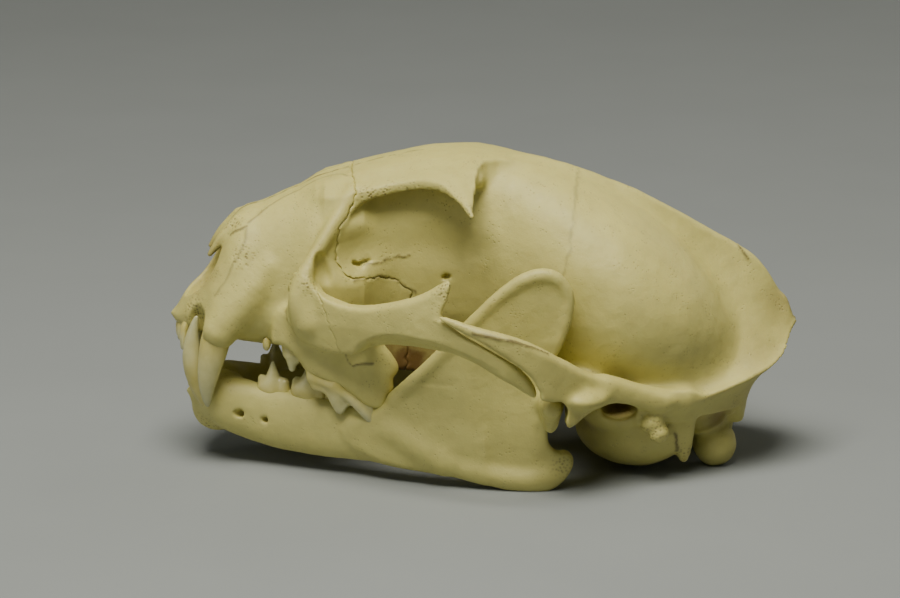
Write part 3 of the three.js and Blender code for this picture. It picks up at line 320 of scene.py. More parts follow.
class Block:
    """Distances to a bone's surface on a grid of x, out and z, less than zero inside it."""

    def __init__(self, low, high, step):
        self.low, self.step = np.array(low, float), step
        count = np.ceil((np.array(high) - self.low) / step).astype(int) + 1
        self.axes = [(self.low[i] + step * np.arange(count[i])).astype(np.float32) for i in range(3)]
        self.value = np.full(tuple(count), FAR, np.float32)

    def change(self, shape, reach, rule):
        """Apply a rule of old and new distance in a shape's box, widened by a reach."""
        distance, low, high = shape
        part = []
        for i in range(3):
            first = int(np.floor((low[i] - reach - self.low[i]) / self.step))
            last = int(np.ceil((high[i] + reach - self.low[i]) / self.step))
            part.append(slice(max(first, 0), max(last + 1, 0)))
        part = tuple(part)
        x = self.axes[0][part[0]][:, None, None]
        l = self.axes[1][part[1]][None, :, None]
        z = self.axes[2][part[2]][None, None, :]
        if x.size and l.size and z.size:
            self.value[part] = rule(self.value[part], distance(x, l, z))

    def add(self, shape, k=1.0):
        self.change(shape, 2 * k + 1, lambda a, d: joined(a, d, k))

    def carve(self, shape, k=1.0):
        self.change(shape, 2 * k + 1, lambda a, d: trimmed(a, -d, k))

    def limit(self, distance, k=0.01):
        everywhere = (distance, self.low, self.low + self.step * np.array(self.value.shape))
        self.change(everywhere, 0, lambda a, d: trimmed(a, d, k))

    def read(self, points):
        """Distances at points of x, out and z."""
        q = np.clip((points - self.low) / self.step, 0, np.array(self.value.shape) - 1.01)
        i = q.astype(int)
        f = q - i
        total = np.zeros(len(points))
        for corner in np.ndindex(2, 2, 2):
            weight = np.prod(np.where(corner, f, 1 - f), axis=1)
            total += weight * self.value[tuple((i + corner).T)]
        return total


# Shapes that two bones share
top_of, brow_of, fall_of = curve_of(TOP), curve_of(BROW), curve_of(BROW_FALL)
edge_x, edge_z = curve_of(NUCHAL_EDGE, 1), curve_of(NUCHAL_EDGE, 2)
edge_out = curve_of([(row[1], row[0]) for row in reversed(NUCHAL_EDGE)])


def back_face(l, z):
    """How far back the rear face lies: it slopes forward below the crest's edge."""
    return edge_x(l) - REAR_RUN * (1 - np.exp(-np.maximum(edge_z(l) - z, 0) / REAR_DROP))


def brow_plate(x, l, z):
    """Roof over the eye sockets, thinner towards its pointed outer ends."""
    roof = top_of(x) - 0.35 - fall_of(x) * l * l - 0.2 * np.maximum(x + 1, 0)
    thick = BROW_THICK - BROW_TAPER * np.clip(l / BROW_TIP, 0, 1)
    slab = trimmed(trimmed(z - roof, roof - thick - z, 0.7), l - brow_of(x), 0.6)
    return slab * 0.85 + np.maximum(x - 14, 0) + np.maximum(-36 - x, 0)


def rear_wall(x, l, z):
    """Rear of the skull, hollowed between the roof and the crest's edge, with a lower foot in the middle."""
    xe = np.clip(x, REAR_FRONT, 70)
    edge = edge_out(xe)
    t = np.clip(l / np.maximum(edge, 1), 0, 1)
    low = edge_z(edge) + 0.6
    flank = low + (top_of(xe) - low) * (1 - t) ** 1.6
    body = trimmed((z - flank) * 0.55, (x - back_face(l, z)) * 0.6, 0.5)
    foot = 14.5 - 4.7 * np.clip((12 - l) / 4, 0, 1) * np.clip((x - 50) / 4, 0, 1)
    return trimmed(body, np.maximum(foot - z, np.maximum(l - 27, REAR_FRONT - x)), 1)


def crest(x, l, z):
    """Ridge along the middle of the roof."""
    half = 0.8 + 0.14 * np.maximum(top_of(x) - z, 0)
    ridge = trimmed(z - top_of(x), l - half, 0.8)
    ends = np.maximum(np.maximum(CREST_FOOT - z, CREST_FRONT - x), x - back_face(l, z))
    return np.maximum(ridge, ends) * 0.9


def cheek_bow(x, z):
    """Inward lean of the cheekbone above its middle and, more so, in the hollow under its ridge."""
    ledge = np.clip((x + 29.5) / 4, 0, 1) * np.clip((4 - x) / 12, 0, 1)
    ridge = 38.2 - 0.045 * np.minimum(x + 19, 0) ** 2 - 0.012 * np.maximum(x + 19, 0) ** 2
    under = np.maximum(37.9 - z, 0) * 0.15 + np.maximum(ridge - z, 0) * 1.3 * ledge
    return -0.012 * np.maximum(z - 39.5, 0) ** 2 - under


cheek_shape = plate(CHEEK_OUTLINE, CHEEK_OUT, CHEEK_HALF, 1.3, cheek_bow)


def cheek_root():
    """Front part of the cheekbone's plate."""
    distance, low, high = cheek_shape
    return (lambda x, l, z: np.maximum(distance(x, l, z), x - ROOT_END)), low, high


def wander(a, b):
    """Small waves that make a seam zigzag."""
    return 0.2 * np.sin(2.3 * a + 1.6 * np.sin(1.7 * b)) + 0.12 * np.sin(5.1 * b + 2 * np.sin(2.9 * a))


def cheek_seam(x, l, z):
    """Above zero on the cheekbone's side of its suture with the upper jaw."""
    front = (x + 31.6 + 0.38 * (z - 30) + wander(z, x)) * 0.93
    inner = l - 23.4 + 2.4 * np.clip((z - 38) / 6, 0, 1)
    rear = (l - 23.4) * 0.75 - np.minimum(x + 19.5, 7.5) * 0.66
    return np.minimum(np.minimum(front, inner), rear)


def behind_face(x, l, z):
    """Above zero behind the seam between face and braincase."""
    loop = np.array(FACE_SEAM[::-1] + [(-90, 82), (-90, 10)])
    return outline_distance(loop, x, z) + wander(z, l) * np.clip((l - 2) / 3, 0, 1)


def cranium(low, high, step):
    """The whole skull without its lower jaw, as far as it lies in the block."""
    bone = Block(low, high, step)
    bone.add(sections(BRAINCASE), 1)
    bone.add(sections(MUZZLE, flat_below=0.45), 4)
    bone.add((brow_plate, (-38, 0, 52), (16, 28, 75)), 3)
    bone.add(egg((-2.2, 10.8, 67.2), (2, 3.6, 1.8)), 2)   # fills the corner behind the brow
    bone.add((rear_wall, (30, 0, 8), (72, 28, 66)), 4)
    bone.add((crest, (8, 0, 20), (70, 8, 73)), 2.5)
    bone.add(plate(TOOTH_WALL, WALL_OUT, WALL_HALF, 1.6), 2.2)
    bone.add(rod(eased([
        (-48.5, 11.5, 47, 2), (-52.5, 12.2, 41.5, 3.2), (-57, 12.2, 36, 4), (-59.6, 12.2, 32.6, 4.2),
    ])), 2.5)
    # Eye socket, the rim in front of it and the pointed process behind it
    bone.carve(egg((-15.6, 27.5, 52.6), (24.6, 17.2, 13.6)), 1.4)
    bone.carve(egg((-17.5, 22.5, 58.2), (14.5, 12, 8.8)), 1)
    bone.add(rod(eased([
        (-29, 10.5, 64.4, 1), (-31.6, 13.2, 61, 1.1), (-34.9, 16, 56.6, 1.2), (-38, 18.4, 51.4, 1.4),
        (-40.4, 20.2, 46.8, 2.1), (-41.2, 20.9, 42, 2.8), (-39.6, 21.6, 37, 3),
    ])), 2.4)
    bone.add(cheek_root(), 2.2)
    bone.add(rod(eased([
        (-7, 14.5, 67.4, 1.4), (-5, 20, 66, 1.2), (-4, 24.6, 64.2, 1), (-3, 27, 62.7, 0.6),
    ])), 1.4)
    # Canal under the eye socket, and the pit for the tear duct
    bone.carve(egg((-46.6, 18.9, 41.8), (3.2, 4, 5.2), "l", 14), 0.3)
    bone.carve(rod([(-48, 18.1, 40.4, 1.6), (-43.5, 18, 41, 1.8), (-38.5, 18.2, 42.6, 1.5)]), 0.6)
    bone.carve(egg((-35.9, 19.6, 48.4), (1.9, 2.8, 4.2), "l", -16), 0.8)
    # Slit and small hole in the wall of the eye socket
    bone.carve(egg((-28.6, 13.4, 48.3), (1.5, 1.2, 0.45), "l", 24), 0.3)
    bone.carve(egg((-26.7, 12.9, 48.7), (1.7, 1.1, 0.42), "l", -10), 0.3)
    bone.carve(egg((-8.6, 12.4, 44.8), (1.2, 2.6, 0.75), "l", -14), 0.25)
    # Groove for the lower canine, opening of the nose and tip of the nasal bone
    bone.carve(egg((-65, 10.8, 33.2), (2.4, 3.4, 4.6)), 0.8)
    bone.carve(egg((-61, 0, 43.5), (12, 7.6, 8.6), "l", 38), 1)
    bone.add(rod(eased([(-55.5, 3, 56, 1.3), (-59, 3.6, 52, 1.3), (-62, 4, 48.2, 0.6)], 4)), 0.8)
    # Ear capsule, knobs and spines at the back
    bone.add(egg((33.5, 14, 11.2), (13.3, 8.6, 9.3), "z", 14), 1.2)
    bone.add(egg((30.5, 19.5, 16.5), (9, 6, 5.6)), 2)
    bone.add(egg((37.3, 24.9, 14.8), (2.8, 2.9, 2.7)), 0.7)
    bone.add(egg((38.7, 25.1, 12.4), (2.4, 2.9, 2.4)), 0.4)
    bone.add(rod([(33.6, 22.6, 18, 1.2), (37.4, 24.2, 16, 1.6), (39.4, 24.6, 19, 1.4)]), 1.2)
    bone.add(rod(eased([
        (45.6, 20.4, 19, 2), (45.6, 19.4, 12.5, 1.7), (45.3, 18.2, 7.6, 1.5), (44.8, 17.4, 4.4, 1.1),
    ])), 1.2)
    bone.add(rod([(41.8, 21.4, 17.5, 1.7), (43.6, 19.6, 11, 1.5), (44.4, 18, 6, 1.2)]), 1.2)
    bone.add(egg((52.2, 8.9, 5.4), (4.9, 4.9, 5.4), "l", -10), 0.8)
    bone.add(egg((49.8, 8.4, 12), (4.4, 4.6, 6), "l", -15), 1.2)
    bone.add(egg((48, 6, 14), (7, 8, 5)), 3)
    bone.carve(egg((56, 0, 7.6), (9, 6.4, 4.9), "l", -10), 1)
    # Rear cheek arch, its root and the hinge groove for the jaw
    bone.add(egg((20.6, 29, 23.4), (7.2, 11.5, 3.2), "l", 8), 3)
    bone.add(plate([
        (16.9, 27), (17.2, 22), (18, 18.2), (19.4, 17.8), (21, 20), (23.5, 24),
    ], [(16, 30), (24, 30)], [(16, 7), (24, 7)], 2), 1.5)
    bone.add(plate(ARCH_OUTLINE, ARCH_OUT, ARCH_HALF, 1.3), 1.6)
    bone.add(rod(eased([
        (27, 30, 24.6, 1.3), (33, 27.6, 22.4, 1.3), (39, 25.8, 20.4, 1.2), (45, 23.8, 20, 1),
    ])), 4.5)
    bone.carve(rod([(14.9, 23, 20.9, 3.4), (14.9, 40.5, 21.2, 3.2)]), 0.6)
    bone.add(egg((29.9, 21, 17.4), (5.2, 3.4, 3.5), "l", -4), 0.8)
    bone.carve(egg((30, 25, 18), (4.1, 9.5, 2.7), "l", -4), 0.4)
    # Thin plates behind the palate
    bone.add(plate([
        (-31, 29), (-29, 24.5), (-16, 22.4), (-6, 19.5), (3, 16.2), (8, 13.6), (9.4, 14.6), (7.5, 18.5),
        (8, 24), (-10, 30),
    ], [(-31, 9.5), (-18, 9.5), (-5, 8.2), (9.4, 7.6)], [(-31, 1.4), (-18, 1.2), (9.4, 1)], 1), 1.2)
    bone.carve(egg((-2, 0, 20), (14.5, 6.6, 5.2), "l", 10), 1.5)
    bone.limit(lambda x, l, z: np.where(x > -50, (z - top_of(x)) * 0.8, -FAR), 0.8)
    bone.limit(lambda x, l, z: RESTING_LEVEL - z)
    return bone


def lower_jaw(step):
    bone = Block((-70, -2, -2), (24, 44, 55), step)
    bone.add(sections(JAW_BODY, JAW_OUT), 1)
    bone.add(plate(RAMUS, RAMUS_OUT, RAMUS_HALF, 1.2), 3)
    bone.add(rod(eased([
        (-20, 22.5, 19.6, 1.8), (-12, 25.3, 28, 1.7), (-3, 27.6, 38.4, 1.5), (4, 28.7, 45.4, 1.5),
        (10, 29.4, 49.4, 1.6), (15, 29.4, 49.4, 1.5), (18.2, 29.2, 45.6, 1.3), (17.8, 29, 40, 1.2),
        (15.5, 28.8, 33, 1.1),
    ], 6)), 1)
    bone.add(rod(eased([
        (-12, 25, 6.4, 1.6), (-6, 26.7, 5.4, 2), (2, 28.6, 3.6, 2.1), (9, 29.2, 2.7, 2.3),
        (14.5, 28.6, 3.9, 2.4), (17.4, 28, 6.6, 1.9),
    ], 6)), 2)
    bone.add(rod(eased([
        (-21.5, 22.8, 12.6, 1.6), (-17.5, 24.4, 11, 2), (-13.5, 25.6, 8.8, 2.2), (-9.5, 26.6, 6.4, 1.8),
    ])), 3)
    bone.carve(egg((3.5, 34.2, 22), (12, 5.4, 15), "l", -20), 2.5)
    bone.add(rod([(14.7, 24.8, 20.8, 2.5), (14.8, 31.5, 21.3, 2.8), (14.7, 37.6, 21.4, 2.3)]), 2.5)
    bone.add(egg((14.5, 33, 18.4), (2, 4.2, 3.6)), 2)
    bone.add(egg((-60, 2.6, 13.6), (6.4, 4.5, 7.2), "l", 25), 2)
    # Openings of the nerve canal on the outside
    bone.carve(rod([(-57.4, 12.6, 13.2, 0.7), (-55.2, 10.6, 12.8, 0.9), (-53.4, 9, 12.4, 0.7)]), 0.5)
    bone.carve(rod([(-50.8, 13.6, 11.9, 0.6), (-48.6, 11.2, 11.6, 0.8)]), 0.4)
    bone.limit(lambda x, l, z: 0.15 - l)
    bone.limit(lambda x, l, z: RESTING_LEVEL - z)
    return bone


# Fine lines on the bones: points of x, out and z, then half width, depth and zigzag
SUTURES = [
    ([(-31.9, 25, 31.6), (-31.4, 23.6, 30), (-30.9, 23, 28.4), (-29.8, 22.6, 27.2), (-27.6, 22.4, 27.6),
      (-25, 22.4, 27.7)], 0.24, 0.2, 0.15),
    ([(-52.9, 6.7, 55.9), (-49.5, 5, 58.5), (-46.4, 3.9, 60.7), (-43.1, 3.2, 62.4),
      (-39.7, 3, 64), (-36.3, 3.4, 65.7), (-32.9, 4.6, 67.2), (-30.8, 6.5, 66.9)], 0.25, 0.12, 0.2),
    ([(-53.3, 7.6, 55), (-53.7, 9.5, 52.7), (-55, 10.9, 49.8), (-56.2, 11.4, 47.8),
      (-57.7, 12.1, 44.8), (-59.1, 12.3, 42.7), (-60.5, 12.2, 40.8)], 0.24, 0.1, 0.18),
    ([(-53.3, 7.4, 55.1), (-55.1, 7.2, 54.4), (-57, 6.3, 53.2)], 0.25, 0.16, 0.2),
    ([(-57, 0.05, 56.4), (-50, 0.05, 60.1), (-42, 0.05, 63.8), (-33, 0.05, 67)], 0.3, 0.2, 0.25),
    ([(-33, 0.05, 67), (-24, 0.05, 69.5), (-14, 0.05, 71.4)], 0.25, 0.12, 0.6),
    ([(-27.2, 13.1, 48.5), (-25.4, 12.7, 47.9), (-20.9, 10.7, 49), (-17.1, 10.1, 49.3)], 0.25, 0.18, 0.4),
    ([(-29.4, 16.4, 45), (-25.6, 13.8, 45.2), (-21.4, 11, 44.5), (-18.3, 10.4, 42.7),
      (-15.8, 10.4, 41.1)], 0.25, 0.16, 0.5),
    ([(21.1, 0.9, 67.4), (20.3, 9.9, 64.5), (19.7, 16.4, 60.6), (19.2, 19.3, 57.3),
      (19, 21.3, 54.1), (17.9, 22.6, 49.8), (16, 22.6, 45)], 0.3, 0.08, 0.5),
    ([(-2.9, 44.8, 40.9), (2.4, 45.6, 39.8), (5.9, 45.4, 39.1), (9.4, 44.8, 37.8),
      (13.6, 42.6, 35.6)], 0.27, 0.3, 0.15),
    ([(42.6, 21.4, 11.4), (42.9, 20.6, 8.9), (43.3, 19.4, 6.4)], 0.3, 0.25, 0.3),
    ([(57.6, 0.8, 49.5), (58.4, 1.3, 48.2), (59.5, 1.4, 46.6)], 0.3, 0.2, 0.2),
]
# Folds and shallow grooves: points of x, out and z, then half width and depth
FOLDS = [
    ([(-42.6, 18.4, 47.6), (-43.8, 18.6, 44.6), (-44.3, 19, 41.5), (-43.8, 19.6, 38.8), (-42.2, 20.4, 36.4)],
     0.42, 1),
    ([(47.6, 12, 8.7), (50, 13, 9.6), (52.4, 13, 10.6), (54.6, 11.8, 12.4), (55.8, 10, 14.4)], 0.6, 0.7),
    ([(-39.3, 21.7, 49.4), (-38.9, 22.6, 47.4), (-38, 23.2, 45.8)], 0.3, 0.15),
    ([(-11, 40.2, 42.6), (-4.6, 42.2, 39.3), (2.4, 44.2, 35.3), (7.7, 42.7, 31.7)], 0.4, 0.2),
]
# Patches of open, spongy bone: centre and reach
SPONGY = [
    ((-26, 12.8, 64.2), 2.6), ((-22, 13, 64), 2.6), ((-18, 13.3, 64), 2.6), ((-14, 14.8, 64.6), 2.6),
    ((-10, 18.6, 65), 2.8), ((-7, 23, 64), 3), ((-4, 26.5, 62), 3.4), ((37.9, 26, 13.7), 3.4),
    ((44.8, 18, 6), 3), ((-8.6, 40.5, 50), 4),
    ((-39, 23, 46), 2.5), ((-54.5, 12, 50), 3), ((-57, 5, 56), 3), ((21, 34, 21), 3),
    ((-64, 8, 36), 4), ((-62, 4, 9), 4), ((17, 29, 6), 3), ((14.7, 36, 21.5), 3),
]
# Brown stains and painted shade: centre, reach and strength. The patches at (-17, 9, 25) and (-4, 8, 21) are
# painted shade on the thin plates behind the palate, the one at (30, 19, 18) painted shade inside the ear
# opening
STAINS_AND_SHADE = [
    ((67, 2, 36), 6, 0.3), ((60, 8, 24), 9, 0.3), ((50, 10, 18), 8, 0.4), ((51.5, 11, 12.6), 3.8, 1),
    ((-61, 3, 44), 8, 0.5), ((24, 18, 14), 6, 0.4), ((-17, 9, 25), 12, 1), ((-4, 8, 21), 9, 1),
    ((30, 19, 18), 5, 1),
]


# Relief of every bone: size and height of its bumps, added height on spongy bone, seed
RELIEF = [(6.1, 0.13, 0, 1), (2.3, 0.06, 0, 2), (0.9, 0.02, 0.09, 3)]
LIFT = 2.2                # a line marks the surface only this far above and below it
LINE_MARGIN = 3           # points farther from a line's box are left out
BAND = 3.0                # distances kept on both sides of a surface
PROBE = 2.2               # depth and height at which hollows and edges are sought
PROBE_SPAN = 1.4          # difference there that makes a full hollow or edge


def undulation(points, size, seed):
    """Smooth random relief from -1 to 1 with bumps about size mm apart."""
    table = np.random.default_rng(seed).uniform(-1, 1, (32, 32, 32))
    q = points / size
    i = np.floor(q).astype(int)
    f = q - i
    f = f * f * (3 - 2 * f)
    total = np.zeros(len(points))
    for corner in np.ndindex(2, 2, 2):
        weight = np.prod(np.where(corner, f, 1 - f), axis=1)
        total += weight * table[tuple(((i + corner) % 32).T)]
    return total


def line_distance(points, normals, line):
    """Distance along the surface from each point to a line near it."""
    best = np.full(len(points), FAR)
    for a, b in zip(line[:-1], line[1:]):
        low, high = np.minimum(a, b) - LINE_MARGIN, np.maximum(a, b) + LINE_MARGIN
        near = np.all((points > low) & (points < high), axis=1)
        w = points[near] - a
        v = b - a
        away = w - np.clip(w @ v / (v @ v), 0, 1)[:, None] * v
        lift = np.sum(away * normals[near], axis=1)
        flat = np.sqrt(np.maximum(np.sum(away * away, axis=1) - lift * lift, 0))
        best[near] = np.minimum(best[near], np.where(np.abs(lift) < LIFT, flat, FAR))
    return best


def nearness(points, patches):
    """Strength of the nearest patch: its own or 1 up to a quarter of its reach, then falling off."""
    best = np.zeros(len(points))
    for centre, reach, *strength in patches:
        away = np.linalg.norm(points - np.array(centre), axis=1) / reach
        best = np.maximum(best, np.clip(1.25 - away, 0, 1) * (strength[0] if strength else 1))
    return best


def fold_depth(points, normals):
    """Depth of the folds under each point."""
    depth = np.zeros(len(points))
    for line, half, deep in FOLDS:
        away = line_distance(points, normals, eased(line, 4))
        depth = np.maximum(depth, deep * np.exp(-(away / half) ** 2))
    return depth


def suture_marks(points, normals):
    """Depth of the sutures and cracks under each point, and how dark each is."""
    depth, dark = np.zeros(len(points)), np.zeros(len(points))
    sideways = np.stack([undulation(points, 1.3, seed) for seed in (11, 12, 13)], axis=1)
    for line, half, deep, zigzag in SUTURES:
        away = line_distance(points + zigzag * sideways, normals, eased(line, 4))
        mark = np.exp(-(away / half) ** 2)
        depth = np.maximum(depth, deep * mark)
        dark = np.maximum(dark, mark * min(deep / 0.2, 1))
    return depth, dark


def folded(points):
    """The same points with their distance out from the midline in place of y."""
    return np.stack([points[:, 0], np.abs(points[:, 1]), points[:, 2]], axis=1)


def folded_normals(points, normals):
    """The normals that go with the folded points."""
    return normals * np.where(points[:, 1:2] < 0, (1, -1, 1), (1, 1, 1))


def of_mesh(mesh, what, name):
    values = np.empty(len(mesh.vertices) * 3, np.float32)
    getattr(mesh, what).foreach_get(name, values)
    return values.reshape(-1, 3).astype(float)


def keep_attribute(mesh, name, values):
    attribute = mesh.attributes.new(name, "FLOAT", "POINT")
    attribute.data.foreach_set("value", values.astype(np.float32))


def alone(piece):
    """Select one object and make it the active one."""
    bpy.ops.object.select_all(action="DESELECT")
    piece.select_set(True)
    bpy.context.view_layer.objects.active = piece


def skin(name, block, side=0):
    """Closed skin of a block as an object; side is -1 for left, 1 for right and 0 for both halves."""
    values = np.clip(block.value, -BAND, BAND)
    out_low = block.low[1]
    if side == 0:
        values = np.concatenate([values[:, :0:-1, :], values], axis=1)
        out_low = -(block.value.shape[1] - 1) * block.step
    grid = openvdb.FloatGrid(BAND)
    grid.copyFromArray(np.ascontiguousarray(values, dtype=np.float32))
    points, _, quads = grid.convertToPolygons(isovalue=0.0, adaptivity=0.0)
    points = np.array(points) * block.step + (block.low[0], out_low, block.low[2])
    quads = np.array(quads)
    if side < 0:
        points[:, 1] *= -1
    else:
        quads = quads[:, ::-1]
    mesh = bpy.data.meshes.new(name)
    mesh.from_pydata(points.tolist(), [], quads.tolist())
    piece = bpy.data.objects.new(name, mesh)
    bpy.context.scene.collection.objects.link(piece)
    return piece


def bone_piece(name, block, side, nodes, finish):
    """A bone with its relief, sutures, even mesh and the marks that its material reads."""
    piece = skin(name, block, side)
    mesh = piece.data
    points = of_mesh(mesh, "vertices", "co")
    normals = of_mesh(mesh, "vertex_normals", "vector")
    out_normals = folded_normals(points, normals)
    depth, _ = suture_marks(folded(points), out_normals)
    spongy = nearness(folded(points), SPONGY)
    relief = np.zeros(len(points))
    for size, height, spongy_height, seed in RELIEF:
        relief += (height + spongy_height * spongy) * undulation(points, size, seed)
    relief -= np.maximum(depth, fold_depth(folded(points), out_normals))
    points += normals * relief[:, None]
    points[:, 2] = np.maximum(points[:, 2], RESTING_LEVEL)
    mesh.vertices.foreach_set("co", points.ravel())
    mesh.update()
    alone(piece)
    faces = 2 * len(mesh.polygons)
    if faces > MOST_FACES:
        fewer = piece.modifiers.new("fewer", "DECIMATE")
        fewer.ratio = MOST_FACES / faces
        bpy.ops.object.modifier_apply(modifier=fewer.name)
    bpy.ops.object.shade_smooth()
    mesh = piece.data
    points = of_mesh(mesh, "vertices", "co")
    out_normals = folded_normals(points, of_mesh(mesh, "vertex_normals", "vector"))
    _, dark = suture_marks(folded(points), out_normals)
    # How enclosed or how open each point is: the material paints shade into the hollows and a highlight onto
    # the edges from these
    inward = block.read(folded(points) - PROBE * out_normals) + PROBE
    outward = PROBE - block.read(folded(points) + PROBE * out_normals)
    keep_attribute(mesh, "mark", dark)
    keep_attribute(mesh, "spongy", nearness(folded(points), SPONGY))
    # brown stains, and painted shade where the patch list marks it
    keep_attribute(mesh, "stain_and_shade", nearness(folded(points), STAINS_AND_SHADE))
    keep_attribute(mesh, "hollow", np.clip(outward / PROBE_SPAN, 0, 1))
    keep_attribute(mesh, "edge", np.clip(inward / PROBE_SPAN, 0, 1))
    mesh.vertices.foreach_set("co", ((points + SHIFT) * MM).ravel())
    mesh.update()
    mesh.materials.clear()
    mesh.materials.append(finish)
    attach(piece, "root")
    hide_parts(*nodes)
    return piece


def linear(colour):
    """sRGB hex colour as the linear colour that shaders use."""
    parts = [int(colour[i:i + 2], 16) / 255 for i in (0, 2, 4)]
    return [c / 12.92 if c <= 0.04045 else ((c + 0.055) / 1.055) ** 2.4 for c in parts] + [1.0]


def add(tree, kind, values=None, **settings):
    """Add a shader node. Settings are its own properties; values go to its inputs or link them."""
    made = tree.nodes.new(kind)
    for name, setting in settings.items():
        setattr(made, name, setting)
    for name, value in (values or {}).items():
        if isinstance(value, bpy.types.NodeSocket):
            tree.links.new(value, made.inputs[name])
        else:
            made.inputs[name].default_value = value
    return made


def empty_material(name):
    material = bpy.data.materials.new(name)
    material.use_nodes = True
    material.node_tree.nodes.clear()
    return material, material.node_tree


def layered(tree, colour, *layers):
    """Other colours over a first one. Each has a value that rules it, what that is where the colour
    starts and where it is full, how strong the colour then is, and the colour."""
    for rule, start, full, most, over in layers:
        strength = add(tree, "ShaderNodeMapRange", {
            "Value": rule, "From Min": start, "From Max": full, "To Max": most,
        }).outputs["Result"]
        colour = add(tree, "ShaderNodeMix", {0: strength, 6: colour, 7: over}, data_type="RGBA").outputs[2]
    return colour


def per_mm(size):
    """Texture scale for a pattern that repeats about every size millimetres."""
    return 1 / (size * MM)


def dry_bone(name, pale, middle, dark):
    """Cleaned, air-dried bone with some fat left in it: creamy olive, matt, slightly waxy."""
    material, tree = empty_material(name)
    place = add(tree, "ShaderNodeTexCoord").outputs["Object"]
    mark, spongy, stain_and_shade, hollow, edge = (
        add(tree, "ShaderNodeAttribute", attribute_name=what).outputs["Fac"]
        for what in ("mark", "spongy", "stain_and_shade", "hollow", "edge"))
    # Clouds of colour some 20 mm wide, flecks of 3 mm, where brown patches and pores lie, dents, grain of
    # 0.4 mm
    clouds, flecks, blots, patches, dents, grain = (
        add(tree, "ShaderNodeTexNoise", {
            "Vector": place, "Scale": per_mm(size), "Detail": detail, "Roughness": roughness,
        }).outputs["Fac"]
        for size, detail, roughness in (
            (21, 3, 0.55), (3.2, 4, 0.55), (6, 4, 0.55), (4, 3, 0.55), (2.4, 3, 0.55), (0.45, 4, 0.6)))
    stains_and_shade = add(tree, "ShaderNodeMapRange", {
        "Value": blots, "From Min": 0.1, "From Max": 0.5, "To Max": stain_and_shade,
    }).outputs["Result"]
    # Pores of 0.3 mm, 0.75 mm apart so that they show, dense where the bone is spongy
    pores = add(tree, "ShaderNodeTexVoronoi", {"Vector": place, "Scale": per_mm(0.75), "Randomness": 1.0},
                feature="F1").outputs["Distance"]
    few = add(tree, "ShaderNodeMapRange", {
        "Value": patches, "From Min": 0.52, "From Max": 0.62, "To Max": 0.5,
    }).outputs["Result"]
    single_pores, spongy_pores = (
        add(tree, "ShaderNodeMapRange", {
            "Value": pores, "From Min": rim, "From Max": pit, "To Max": most,
        }).outputs["Result"]
        for rim, pit, most in ((0.32, 0.12, few), (0.48, 0.2, spongy)))
    holes = add(tree, "ShaderNodeMath", {0: single_pores, 1: spongy_pores}, operation="MAXIMUM").outputs[0]
    # Painted shade darkens the hollows and painted highlight pales the edges; brown patches are stains, and
    # painted shade where their list says so; sutures and cracks hold a brown line
    colour = layered(
        tree, linear(pale),
        (clouds, 0.35, 0.65, 1, linear(middle)),
        (flecks, 0.45, 0.75, 0.55, linear(dark)),
        # painted shade in the hollows, then painted highlight on the edges
        (hollow, 0, 1, 0.5, linear("6c5a10")),
        (edge, 0, 1, 0.45, linear("e6e08e")),
        # brown stains, and painted shade on the plates behind the palate and inside the ear opening
        (stains_and_shade, 0, 1, 0.9, linear("5e3a10")),
        (holes, 0, 1, 0.6, linear("503a16")),
        (mark, 0, 1, 0.75, linear("3f2c10")),
    )
    grained = add(tree, "ShaderNodeBump", {"Height": grain, "Strength": 0.35, "Distance": 0.12 * MM})
    dented = add(tree, "ShaderNodeBump", {
        "Height": dents, "Strength": 0.5, "Distance": 0.25 * MM, "Normal": grained.outputs[0],
    })
    pitted = add(tree, "ShaderNodeBump", {
        "Height": holes, "Strength": 0.6, "Distance": 0.25 * MM, "Normal": dented.outputs[0],
    }, invert=True)
    shader = add(tree, "ShaderNodeBsdfPrincipled", {
        "Base Color": colour, "Normal": pitted.outputs[0], "IOR": 1.54,
        "Roughness": add(tree, "ShaderNodeMapRange", {
            "Value": dents, "To Min": 0.46, "To Max": 0.68,
        }).outputs["Result"],
        "Subsurface Weight": 0.12, "Subsurface Radius": (1.0, 0.62, 0.36), "Subsurface Scale": 1.2 * MM,
    })
    add(tree, "ShaderNodeOutputMaterial", {"Surface": shader.outputs[0]})
    return material


def tooth_enamel(name):
    """Dry enamel: smooth and glossy, yellowish at the neck, bluish and glassy at thin tips."""
    material, tree = empty_material(name)
    place = add(tree, "ShaderNodeTexCoord").outputs["Object"]
    tip = add(tree, "ShaderNodeAttribute", attribute_name="tip").outputs["Fac"]
    cloud = add(tree, "ShaderNodeTexNoise", {
        "Vector": place, "Scale": per_mm(2.2), "Detail": 4.0,
    }).outputs["Fac"]
    streaks = add(tree, "ShaderNodeMapping", {"Vector": place, "Scale": (1.0, 1.0, 0.12)}).outputs[0]
    lines = add(tree, "ShaderNodeTexNoise", {
        "Vector": streaks, "Scale": per_mm(0.5), "Detail": 3.0,
    }).outputs["Fac"]
    neck = layered(tree, linear("d6cc7c"), (cloud, 0, 1, 1, linear("bcb05a")))
    crown = layered(tree, linear("dcd698"), (cloud, 0, 1, 1, linear("c0ba76")))
    colour = layered(tree, neck, (tip, 0.1, 0.45, 1, crown), (tip, 0.55, 1, 0.6, linear("a6aa86")))
    ridges = add(tree, "ShaderNodeBump", {"Height": lines, "Strength": 0.25, "Distance": 0.08 * MM})
    shader = add(tree, "ShaderNodeBsdfPrincipled", {
        "Base Color": colour, "Normal": ridges.outputs[0], "IOR": 1.62, "Roughness": 0.27,
        "Subsurface Weight": 0.3, "Subsurface Radius": (1.0, 0.85, 0.65), "Subsurface Scale": 0.8 * MM,
    })
    add(tree, "ShaderNodeOutputMaterial", {"Surface": shader.outputs[0]})
    return material


